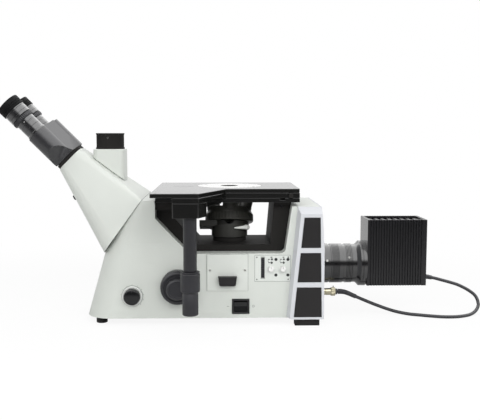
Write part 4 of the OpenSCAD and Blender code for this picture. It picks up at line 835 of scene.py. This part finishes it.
@dataclass
class Lamp:
    """The lamp's ribbed tube with its screws, and the bright plug at the cable's end."""

    # the rear cover's face, and the tube's middle height, length and radius
    base: float = 150.1
    lamp_z: float = 85.6
    length: float = 81.4
    radius: float = 33.5
    socket: tuple[float, float] = (-20.0, 39.7)
    sleeve_len: float = 32.9
    # place along the tube, and angle from the side away from the user over the top
    screws: tuple[tuple[float, float], ...] = ((164.0, 164), (164.0, 76), (164.0, 44), (201.5, 155), (201.5, 275))

    def build(self) -> None:
        """Makes the tube, its screws and the plug."""
        r, n = self.radius, self.length
        c = n - 10.5
        tube = [(24, 0), (r - 0.4, 0), (r, 0.6), (r, 3), (r - 0.5, 3.3), (r - 0.5, 4.1), (r, 4.4), (r, 18),
                (r - 1.2, 18.4), (r - 1.2, 21), (r, 21.4), *grooves(23, 36, r, 0.5, 1.6),
                (r, 42), (r - 1, 42.4), (r - 1, 47), (r, 47.4), *grooves(48, 58, r, 0.6, 2.4),
                (r - 0.8, 58.4), (r - 0.8, c - 6), (r + 1.5, c - 3), (r + 4.8, c - 0.3), (r + 5.2, c + 0.2),
                (r + 5.2, c + 3), (r + 4.7, c + 3.4), (r + 4.7, c + 4.4), (r + 5.2, c + 4.8), (r + 5.2, n - 0.1),
                (24, n - 0.1)]
        Part("lamp_tube_skin", GLOSS_BLACK, replaces=("lamp_tube",)).turned(
            Axis((self.base, 0, self.lamp_z), (1, 0, 0)), tube, bored=True, sides=128)
        for k, (x, deg) in enumerate(self.screws):
            way = (0.0, math.cos(math.radians(deg)), math.sin(math.radians(deg)))
            at = (x, (r - 0.1) * way[1], self.lamp_z + (r - 0.1) * way[2])
            Part("lamp_screw_%d" % (k + 1), SATIN_NICKEL if k == 0 else SCREW_STEEL).screw(at, way, 2.0, 0.6)
        self.plug()

    def plug(self) -> None:
        """The plug: a flange and a knurled ring with its pin, then a black sleeve round the cable."""
        b, (y, z), n = self.base - 0.1, self.socket, self.sleeve_len
        axis = Axis((b, y, z), (1, 0, 0))
        plug = [(0, -5), (5.5, -5), (5.5, 0.2), (8.5, 0.2), (8.5, 2.6), (8.1, 3), (5.9, 3.4), (5.9, 12), (5.5, 12.3),
                (5.5, 13.2), (5.9, 13.5), (5.9, 21.6), (6.6, 22), (7.1, 22.6), (7.1, 28.8), (6.5, 29.6), (5, 30.1),
                (0, 30.1)]
        Part("lamp_plug", PLUG_NICKEL, replaces=("lamp_connector",)).turned(axis, plug, grip=Grip(28, 0.4, 22.5, 28.9))
        Part("lamp_plug_sleeve", CABLE_PVC).turned(axis, [(0, 30), (4.5, 30), (4.9, 30.4), (4.9, n), (0, n)], sides=48)
        Part("lamp_plug_pin", SATIN_NICKEL).turned(Axis((b + 26.5, y, z + 6.6), (0, 0, 1)),
                                                   [(0, 0), (1.1, 0), (1.1, 3.0), (0.8, 3.4), (0, 3.4)], sides=24)


@dataclass
class PhotoPort:
    """The photo tube on its square column, with a rolled rim and three clamp screws."""

    seat: Point = (-200.5, 0.0, 282.0)
    bore_r: float = 19.0
    outer_r: float = 23.0
    screw_angles: tuple[int, ...] = (-93, 27, 147)

    def build(self) -> None:
        """Makes the tube and its screws."""
        b, r = self.bore_r, self.outer_r
        tube = [(b, 0.1), (r + 1, 0.1), (r + 1, 2.4), (r + 0.6, 2.8), (r, 3.1), (r, 23.6), (r + 0.3, 24.2),
                (r + 0.7, 24.6), (r + 0.7, 26.0), (r + 0.3, 26.4), (b + 1, 26.4), (b, 25.4)]
        Part("photo_tube_skin", FRAME_BLACK, replaces=("photo_tube",)).turned(Axis(self.seat, (0, 0, 1)), tube,
                                                                              bored=True, sides=96)
        for k, deg in enumerate(self.screw_angles):
            way = (math.cos(math.radians(deg)), math.sin(math.radians(deg)), 0.0)
            at = (self.seat[0] + (r - 0.1) * way[0], (r - 0.1) * way[1], self.seat[2] + 18.5)
            Part("port_screw_%d" % (k + 1), SCREW_STEEL).screw(at, way, 1.7, 0.5)


@dataclass
class SideControls:
    """Knobs, screws, painted shadow lines and printed marks on the near side of the stand."""

    irises: tuple[tuple[float, str], ...] = ((65.5, "aperture_iris_knob"), (84.8, "field_iris_knob"))
    iris_z: float = 91.6
    iris_r: float = 4.5
    # heights of the two centring screws beside each iris knob
    centring: tuple[float, float] = (81.0, 106.4)
    switch: tuple[float, float] = (16.8, 30.2)
    # width of the painted shadow lines round the cover and the panel, in millimetres
    gasket: float = 0.5
    dial_r: float = 18.6

    def build(self) -> None:
        """Makes everything on the near side."""
        for k, (x, node) in enumerate(self.irises):
            self.iris_set(k, x, node)
        for k, (x, z) in enumerate(((42.7, 74), (93.4, 74), (42.7, 110), (93.4, 110))):
            Part("panel_screw_%d" % (k + 1), SCREW_STEEL).screw((x, -HALF_W - 0.15, z), (0, -1, 0), 1.25, 0.45)
        for k, x in enumerate((-32.5, 23.5)):
            Part("module_screw_%d" % (k + 1), SATIN_NICKEL).screw((x, -HALF_W - 1.1, 89.5), (0, -1, 0), 1.8, 1.3)
        self.plate("blank_pad", STAND_WHITE, (-155.7, 101), (-109.6, 132.4), 0.25, -0.2, round_mm=0.2)
        self.slot_gate()
        self.painted_shadow_lines()
        self.marks()

    def plate(self, name: str, finish: Finish, low: tuple[float, float], high: tuple[float, float], top: float,
              foot: float, body: str = "stand", round_mm: float = 0.0) -> bpy.types.Object:
        """A thin plate on the near side.

        Args:
            name: the piece's name.
            finish: the piece's finish.
            low: its lower corner's place along the stand and height, in millimetres.
            high: its upper corner's.
            top: how far its face stands out of the stand's.
            foot: how far its back does.
            body: the CAD body it moves with.
            round_mm: radius of its edges.

        Returns:
            The new object.
        """
        return Part(name, finish, body).slab((low[0], -HALF_W - top, low[1]), (high[0], -HALF_W - foot, high[1]),
                                             round_mm)

    def mark_ring(self, name: str, x: float, z: float, outer: float, width: float, finish: Finish,
                  face: float = 0.0) -> bpy.types.Object:
        """A printed ring on the near side, standing 0.06 mm off the face.

        Args:
            name: the piece's name.
            x: its centre along the stand, in millimetres from the optical axis.
            z: its centre's height.
            outer: its outer radius.
            width: how broad its line is.
            finish: the piece's finish.
            face: how far the face it is printed on stands out of the stand's.

        Returns:
            The new object.
        """
        inner, foot, top = outer - width, face - 0.1, face + 0.06
        return Part(name, finish).turned(near_axis(x, z), [(inner, foot), (outer, foot), (outer, top), (inner, top)],
                                         bored=True, sides=32)

    def iris_set(self, k: int, x: float, node: str) -> None:
        """One iris knob with its index line, its two centring screws and its printed signs.

        Args:
            k: its number, counted towards the lamp.
            x: its place along the stand.
            node: the knob's CAD node.
        """
        r, z, body = self.iris_r, self.iris_z, node.replace("_knob", "_body")
        cap = [(0, -60), (2, -60), (2, 0.8), (r - 0.3, 0.8), (r, 1.2), (r, 6.3), (r - 0.5, 6.9), (0, 6.9)]
        Part(node + "_cap", WHITE_KNOB, body, (node,)).turned(near_axis(x, z), cap, grip=Grip(20, 0.25, 1.1, 6.2))
        self.plate(node + "_line", INK_AND_SHADOW_GREY, (x - 0.3, z + 0.2), (x + 0.3, z + 3.6), 6.96, 6.8, body)
        head = [(0, -0.6), (2.5, -0.6), (2.5, 0.5), (2.2, 0.75), (1.2, 0.75), (1.2, 0.2), (0, 0.2)]
        for j, high in enumerate(self.centring):
            Part("centring_screw_%d%d" % (k, j), INK_AND_SHADE_DARK).turned(near_axis(x + 8, high), head, sides=24)
        self.mark_ring("iris_sign_%d" % k, x + 1.0, 101.2, 1.9, 1.6, INK_AND_SHADE_DARK, 0.4)
        self.mark_ring("lamp_sign_%d" % k, x + 1.4, 106.6, 1.7, 1.4, INK_AND_SHADE_DARK, 0.4)
        for j, (dx, z, width) in enumerate(((-5.0, 105.9, 3.0), (-4.4, 100.6, 2.6), (-5.2, 103.2, 1.4),
                                            (-0.8, 109.4, 3.0))):
            self.plate("panel_dash_%d%d" % (k, j), INK_AND_SHADE_DARK, (x + dx, z), (x + dx + width, z + 1.3), 0.46, 0.3)

    def slot_gate(self) -> None:
        """The grey gate behind the filter slot, with its ridges, and the lips over and under the slot."""
        self.plate("slot_gate", KNOB_GREY, (48.4, 75), (56.4, 111), -2.2, -3.2)
        for k in range(8):
            z = 78.5 + 4 * k
            self.plate("slot_gate_ridge_%d" % k, KNOB_GREY, (49.8, z), (55.0, z + 1.1), -1.4, -2.3, round_mm=0.2)
        for word, z in (("low", 75.2), ("high", 110.1)):
            self.plate("slot_lip_" + word, INK_AND_SHADOW_GREY, (48.6, z), (56.2, z + 0.7), 0.5, 0.3)

    def painted_shadow_lines(self) -> None:
        """Thin dark strips of painted shadow that draw the shadow lines round the cover, the panel and the dimmer."""
        g = self.gasket
        for node in ("module_cover", "control_panel"):
            low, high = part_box(node)
            x0, x1, z0, z1 = (low[0] / MM - AXIS_X, high[0] / MM - AXIS_X, low[2] / MM, high[2] / MM)
            for side, *corners in (("left", (x0 - g, z0 - g), (x0, z1)), ("right", (x1, z0 - g), (x1 + g, z1)),
                                   ("low", (x0, z0 - g), (x1, z0)), ("high", (x0 - g, z1), (x1 + g, z1 + 0.4))):
                # each strip is a painted shadow line along one edge
                self.plate("%s_gasket_%s" % (node, side), INK_AND_SHADOW_GREY, *corners, 0.12, -0.1)
        # a painted shadow line round the dimmer's bezel
        self.mark_ring("dimmer_painted_shadow_line", *DIMMER, 17.3, 1.0, INK_AND_SHADOW_GREY)

    def marks(self) -> None:
        """O and I beside the switch, and dots that grow along the dimmer's dial."""
        x, z = self.switch
        self.mark_ring("switch_off_sign", x + 20.5, z, 1.9, 0.5, INK_AND_SHADOW_GREY)
        self.plate("switch_on_sign", INK_AND_SHADOW_GREY, (x - 22.2, z - 0.3), (x - 18.6, z + 0.3), 0.06, -0.1)
        for k, deg in enumerate(range(-135, 136, 27)):
            a, size = math.radians(deg), 0.30 + 0.035 * k
            self.mark_ring("dimmer_tick_%02d" % k, DIMMER[0] + self.dial_r * math.sin(a),
                           DIMMER[1] + self.dial_r * math.cos(a), size, size * 0.98, INK_AND_SHADOW_GREY)


@dataclass
class StageFittings:
    """Screws and marks on the stage and on its frame."""

    top: float = 219.6
    grip_hole_r: float = 46.0
    screws: tuple[tuple[float, float], ...] = ((-112, 72), (104, 72), (104, -72), (-112, -170), (-54, -170))

    def build(self) -> None:
        """Makes the corner screws, the groove, the insert's two grip holes and the frame's screws; the groove and the
        holes are dark strips and discs laid on the top, their darkness painted shade.
        """
        body, high = body_of("stage_top"), self.top + 0.14
        for k, (x, y) in enumerate(self.screws):
            Part("stage_screw_%d" % (k + 1), SCREW_STEEL, body).screw((x, y, self.top + 0.12), (0, 0, 1), 2.0, 0.24)
        # painted shade: a dark strip on the top where the groove lies
        Part("stage_groove_painted_shade", INK_AND_SHADE_DARK, body).slab((-92, -23.2, self.top), (-60, -22.0, high))
        # painted shade: dark discs on the insert where its grip holes lie
        for k, deg in enumerate((150, 330)):
            x, y = (self.grip_hole_r * turn(math.radians(deg)) for turn in (math.cos, math.sin))
            Part("insert_hole_painted_shade_%d" % (k + 1), INK_AND_SHADE_DARK, body_of("stage_insert")).turned(
                Axis((x, y, 0), (0, 0, 1)), [(0, self.top), (2.2, self.top), (2.2, high), (0, high)], sides=32)
        for k, x in enumerate((-104, 84)):
            Part("frame_screw_%d" % (k + 1), LAMP_BLACK).screw((x, -59.9, 190), (0, -1, 0), 2.6, 0.6)


@dataclass
class RearFittings:
    """Screws in the rear cover and the blades of the mains inlet."""

    face: float = 149.9
    screws: tuple[tuple[float, float], ...] = ((-88, 24), (88, 24), (-88, 115), (88, 115), (-60, 20), (60, 66))
    blades: tuple[tuple[float, float], ...] = ((38, 34), (52, 34), (45, 39))

    def build(self) -> None:
        """Makes the screws and the blades."""
        for k, (y, z) in enumerate(self.screws):
            Part("cover_screw_%d" % (k + 1), SCREW_STEEL).screw((self.face, y, z), (1, 0, 0), 2.6, 0.7)
        for k, (y, z) in enumerate(self.blades):
            Part("inlet_blade_%d" % (k + 1), SATIN_NICKEL).slab(
                (self.face - 11.7, y - 0.9, z - 2.4), (self.face - 1.5, y + 0.9, z + 2.4), 0.3)


@dataclass
class HeadSeam:
    """The dark gasket in the joint between the stand and the head, a thin band that stands 0.05 mm proud."""

    # the joint's lower and upper end, seen from the side
    ends: tuple[tuple[float, float], ...] = ((-205, 114), (-140, 203))
    # each corner: place along the joint, side, radius, start angle and steps
    corners: tuple[tuple[float, int, float, int, int], ...] = (
        (34, -1, 34, 180, 8), (104.2, -1, 6, 270, 4), (104.2, 1, 6, 0, 4), (34, 1, 34, 90, 8))

    def build(self) -> None:
        """Makes the gasket from an outer and an inner ring at each of its two faces."""
        rings = [self.ring(grow, rise) for grow, rise in ((0.05, 0.03), (0.05, 0.52), (-0.5, 0.52), (-0.5, 0.03))]
        Part("seam_gasket", INK_AND_SHADE_DARK).ringed(np.stack(rings), bored=True)

    def ring(self, grow: float, rise: float) -> np.ndarray:
        """A rounded oblong in the joint's plane.

        Each corner's points are its centre plus its radius times (cos a, sin a), on the plane's two axes.

        Args:
            grow: added to each corner's radius, in millimetres.
            rise: height over the plane, in millimetres.

        Returns:
            N by 3 array of points in metres.
        """
        low, high = (np.array(place(x, 0, z)) for x, z in self.ends)
        along = (high - low) / np.linalg.norm(high - low)
        up, across = np.array([-along[2], 0.0, along[0]]), np.array([0.0, 1.0, 0.0])
        flat = []
        for at, side, radius, start, steps in self.corners:
            a = np.radians(np.linspace(start, start + 90, steps + 1))
            centre = np.array([at, side * (HALF_W - radius)])
            flat.append(centre + (radius + grow) * np.stack([np.cos(a), np.sin(a)], axis=1))
        spots = np.concatenate(flat)
        return low + MM * (spots[:, :1] * along + spots[:, 1:] * across + rise * up)


@dataclass
class LampCable:
    """The lamp's cable, from the lamphouse's rear along the bench and up to its connector."""

    diameter: float = 5.6
    sides: int = 20
    # how much the moulded boots stand out over the cable at their thick end, and their rings over that
    boot: float = 1.5
    boot_ring: float = 0.35
    boot_taper: float = 0.9
    fittings: tuple[str, ...] = ("lamp_plug", "lamp_plug_sleeve", "lamp_plug_pin", "plug_boot", "lamp_boot")
    route: tuple[Point, ...] = (
        (332, 0, 62), (343, 0, 60.5), (356, 0, 58), (369, 0, 54.5), (382, -1, 51), (395, -2, 47),
        (407, -4, 41.5), (417, -6, 35.5), (424, -9, 29.5), (427.4, -13, 22.5), (427.8, -18, 15.5), (423, -25, 9),
        (414, -34, 4.5), (402, -44, 3), (388, -52, 3), (372, -56, 3), (356, -55, 3), (340, -50, 3),
        (324, -43, 3), (308, -36, 3), (294, -29.5, 4), (280, -25, 6.5), (266, -22, 10.5), (252, -20.5, 15.5),
        (238, -20, 21), (224, -20, 27), (210, -20, 33), (199, -20, 37.8), (190.5, -20, 39.6), (183, -20, 39.7))

    def smooth_route(self, per_span: int = 5) -> np.ndarray:
        """Points along smooth spans through the route.

        Each span mixes its four nearest route points by cubic weights in its own parameter, and is
        kept within the route's own bounds.

        Args:
            per_span: points on each span.

        Returns:
            N by 3 array in metres.
        """
        p = np.array([place(*q) for q in self.route])
        p = np.concatenate([[2 * p[0] - p[1]], p, [2 * p[-1] - p[-2]]])
        t = np.linspace(0, 1, per_span, endpoint=False)
        weights = 0.5 * np.stack([-t + 2 * t**2 - t**3, 2 - 5 * t**2 + 3 * t**3,
                                  t + 4 * t**2 - 3 * t**3, -t**2 + t**3], axis=1)
        spans = np.stack([p[:-3], p[1:-2], p[2:-1], p[3:]], axis=1)
        inner = np.einsum("tw,swc->stc", weights, spans).reshape(-1, 3)
        return np.clip(np.concatenate([inner, p[-2:-1]]), p[1:-1].min(axis=0), p[1:-1].max(axis=0))

    def build(self) -> bpy.types.Object:
        """Returns:
            The cable.
        """
        path = self.smooth_route()
        radius = self.diameter / 2 * MM
        cable = Part("cable", CABLE_PVC, replaces=("lamp_cable",)).swept(path, np.full(len(path), radius), self.sides)
        # the boots taper away from the plug, and from the lamphouse
        for word, part in (("plug_boot", path[-18:-1][::-1]), ("lamp_boot", path[1:9])):
            step = np.linspace(0, 1, len(part) * 4)
            fine = np.stack([np.interp(step, np.linspace(0, 1, len(part)), part[:, k]) for k in range(3)], axis=1)
            rings = np.where(np.arange(len(step)) % 4 < 2, self.boot_ring, 0.0)
            Part(word, CABLE_PVC).swept(fine, radius + (self.boot - self.boot_taper * step + rings) * MM, self.sides)
        return cable


@dataclass(frozen=True)
class SoftLamp:
    """An area lamp: its place and the point it faces about the optical axis, its power and its sides in metres."""

    name: str
    at: Point
    to: Point
    watts: float
    width: float
    height: float

    def build(self) -> bpy.types.Object:
        """Makes the lamp, unseen in reflections, where the world's soft box stands for it.

        Returns:
            The lamp's object.
        """
        data = bpy.data.lights.new(self.name, "AREA")
        data.shape = "RECTANGLE"
        data.size, data.size_y = self.width, self.height
        data.energy = self.watts
        made = bpy.data.objects.new(self.name, data)
        bpy.context.scene.collection.objects.link(made)
        made.location = place(*self.at)
        made.visible_glossy = False
        made.rotation_mode = "QUATERNION"
        made.rotation_quaternion = (place(*self.to) - place(*self.at)).to_track_quat("-Z", "Y")
        return made


@dataclass
class Studio:
    """The camera, the pale floor, the world and the soft lamps."""

    # the photograph's eye point about the optical axis, in millimetres, and its angles
    eye: Point = (-17.6, -1300.0, 308.7)
    tilt_deg: float = 5.75
    pan_deg: float = 1.57
    lens_mm: float = 57.4
    # strengths of the world for diffuse rays, and of its dark side and its overhead soft box in reflections
    sky_strength: float = 0.50
    dark_side: float = 0.08
    softbox: float = 2.4
    # how much of the near floor's white is its own, and the colour that the lamps and the shadow fall on
    floor_glow: float = 0.90
    floor_lit: str = "5D5D5D"
    # the table and the dark room in front of it, as the object sees them
    table: str = "EAEAEA"
    room: str = "898989"
    floor_half: float = 6.0
    lamps: tuple[SoftLamp, ...] = (
        SoftLamp("key", (60, -1180, 820), (20, 0, 120), 12.5, 2.4, 0.5),
        SoftLamp("fill", (700, -1000, 500), (60, 0, 100), 2.5, 1.2, 1.2),
        SoftLamp("top", (0, 200, 1300), (0, 0, 150), 2.5, 1.4, 1.4))

    def camera(self) -> bpy.types.Object:
        """Makes the camera at the photograph's viewing angle.

        Returns:
            The camera's object.
        """
        data = bpy.data.cameras.new("camera")
        data.lens = self.lens_mm
        data.sensor_width = 36.0
        data.clip_end = 50.0
        made = bpy.data.objects.new("camera", data)
        bpy.context.scene.collection.objects.link(made)
        tilt, pan = math.radians(self.tilt_deg), math.radians(self.pan_deg)
        look = Vector((math.sin(pan) * math.cos(tilt), math.cos(pan) * math.cos(tilt), -math.sin(tilt)))
        made.location = place(*self.eye)
        made.rotation_mode = "QUATERNION"
        made.rotation_quaternion = look.to_track_quat("-Z", "Y")
        bpy.context.scene.camera = made
        return made

    def floor_material(self) -> bpy.types.Material:
        """A plain pale floor that keeps a soft shadow near the object and is white further off.

        For the camera, the far floor gives off white by the distance from the object's middle, so it
        meets the white world without a line. Other rays see a pale table that turns dark towards the
        camera, and reflections see a white one far behind the object.

        Returns:
            The material.
        """
        made = bpy.data.materials.new("pale_floor")
        made.use_nodes = True
        tree = made.node_tree
        tree.nodes.clear()
        out = add_node(tree, "ShaderNodeOutputMaterial")
        rays = add_node(tree, "ShaderNodeLightPath")
        where = add_node(tree, "ShaderNodeTexCoord")
        split = add_node(tree, "ShaderNodeSeparateXYZ", {0: where.outputs["Object"]})
        # what the camera sees: the near floor up to 0.45 m from the middle, and plain white from 1 m on
        reach = add_node(tree, "ShaderNodeVectorMath", {0: where.outputs["Object"]}, operation="LENGTH")
        far = add_node(tree, "ShaderNodeMapRange", {0: reach.outputs["Value"], 1: 0.45, 2: 1.0},
                       interpolation_type="SMOOTHSTEP")
        lit = add_node(tree, "ShaderNodeBsdfDiffuse", {"Color": linear(self.floor_lit)})
        glow = add_node(tree, "ShaderNodeEmission", {"Color": WHITE, "Strength": self.floor_glow})
        near = add_node(tree, "ShaderNodeAddShader", {0: lit.outputs[0], 1: glow.outputs[0]})
        white = add_node(tree, "ShaderNodeEmission", {"Color": WHITE, "Strength": 1.0})
        seen = add_node(tree, "ShaderNodeMixShader", {0: far.outputs[0], 1: near.outputs[0], 2: white.outputs[0]})
        # what the object sees: a table that ends 0.3 to 0.9 m in front, and in reflections a white one
        # from 0.2 to 0.6 m behind
        table = add_node(tree, "ShaderNodeBsdfDiffuse", {"Color": linear(self.table)})
        room = add_node(tree, "ShaderNodeBsdfDiffuse", {"Color": linear(self.room)})
        front = add_node(tree, "ShaderNodeMapRange", {0: split.outputs["Y"], 1: -0.3, 2: -0.9})
        behind = add_node(tree, "ShaderNodeMapRange", {0: split.outputs["Y"], 1: 0.2, 2: 0.6})
        mirrored = add_node(tree, "ShaderNodeMath", {0: behind.outputs[0], 1: rays.outputs["Is Glossy Ray"]},
                            operation="MULTIPLY")
        back = add_node(tree, "ShaderNodeMixShader", {0: mirrored.outputs[0], 1: table.outputs[0],
                                                      2: white.outputs[0]})
        rest = add_node(tree, "ShaderNodeMixShader", {0: front.outputs[0], 1: back.outputs[0], 2: room.outputs[0]})
        both = add_node(tree, "ShaderNodeMixShader", {0: rays.outputs["Is Camera Ray"], 1: rest.outputs[0],
                                                      2: seen.outputs[0]})
        tree.links.new(both.outputs[0], out.inputs[0])
        return made

    def sky(self) -> None:
        """A world that is white to the camera and through glass, and a studio in reflections.

        The reflected strength runs from dim to 1 by the Y part of the direction: the backdrop behind the
        object is bright and the studio behind the camera is dark, as in the photograph. Above, by the Z
        part, hangs a broad soft box.
        """
        world = bpy.data.worlds.new("room")
        bpy.context.scene.world = world
        world.use_nodes = True
        tree = world.node_tree
        tree.nodes.clear()
        out = add_node(tree, "ShaderNodeOutputWorld")
        rays = add_node(tree, "ShaderNodeLightPath")
        toward = add_node(tree, "ShaderNodeTexCoord")
        parts = add_node(tree, "ShaderNodeSeparateXYZ", {0: toward.outputs["Generated"]})
        level = add_node(tree, "ShaderNodeMapRange", {0: parts.outputs["Y"], 1: -0.5, 2: 0.3, 3: self.dark_side,
                                                      4: 1.0})
        overhead = add_node(tree, "ShaderNodeMapRange", {0: parts.outputs["Z"], 1: 0.25, 2: 0.45, 3: 0.0,
                                                         4: self.softbox})
        glossy = add_node(tree, "ShaderNodeMath", {0: level.outputs[0], 1: overhead.outputs[0]},
                          operation="MAXIMUM")
        base = add_node(tree, "ShaderNodeMix", {0: rays.outputs["Is Glossy Ray"], 2: self.sky_strength,
                                                3: glossy.outputs[0]})
        clear = add_node(tree, "ShaderNodeMath", {0: rays.outputs["Is Camera Ray"],
                                                  1: rays.outputs["Is Transmission Ray"]}, operation="MAXIMUM")
        strength = add_node(tree, "ShaderNodeMix", {0: clear.outputs[0], 2: base.outputs[0], 3: 1.0})
        sky = add_node(tree, "ShaderNodeBackground", {"Color": WHITE, "Strength": strength.outputs[0]})
        tree.links.new(sky.outputs[0], out.inputs[0])

    def build(self) -> None:
        """Makes the floor, the world and the lamps."""
        bpy.context.scene.view_settings.view_transform = "Standard"
        far = self.floor_half
        mesh = bpy.data.meshes.new("floor")
        mesh.from_pydata([(-far, -far, 0), (far, -far, 0), (far, far, 0), (-far, far, 0)], [], [[0, 1, 2, 3]])
        mesh.materials.append(self.floor_material())
        floor = bpy.data.objects.new("floor", mesh)
        bpy.context.scene.collection.objects.link(floor)
        self.sky()
        for lamp in self.lamps:
            lamp.build()


def main() -> None:
    """Builds the camera, the lamp's plug before its cable, then all the other pieces, and the studio."""
    logging.basicConfig(level=logging.INFO, format="%(name)s: %(message)s")
    studio = Studio()
    studio.camera()
    for group in (Lamp(), PhotoPort(), LampCable(), CadDress(), Knobs(), Nosepiece(), Binocular(), SideControls(),
                  StageFittings(), RearFittings(), HeadSeam(), studio):
        group.build()
    bpy.context.view_layer.update()


if __name__ == "__main__":
    main()
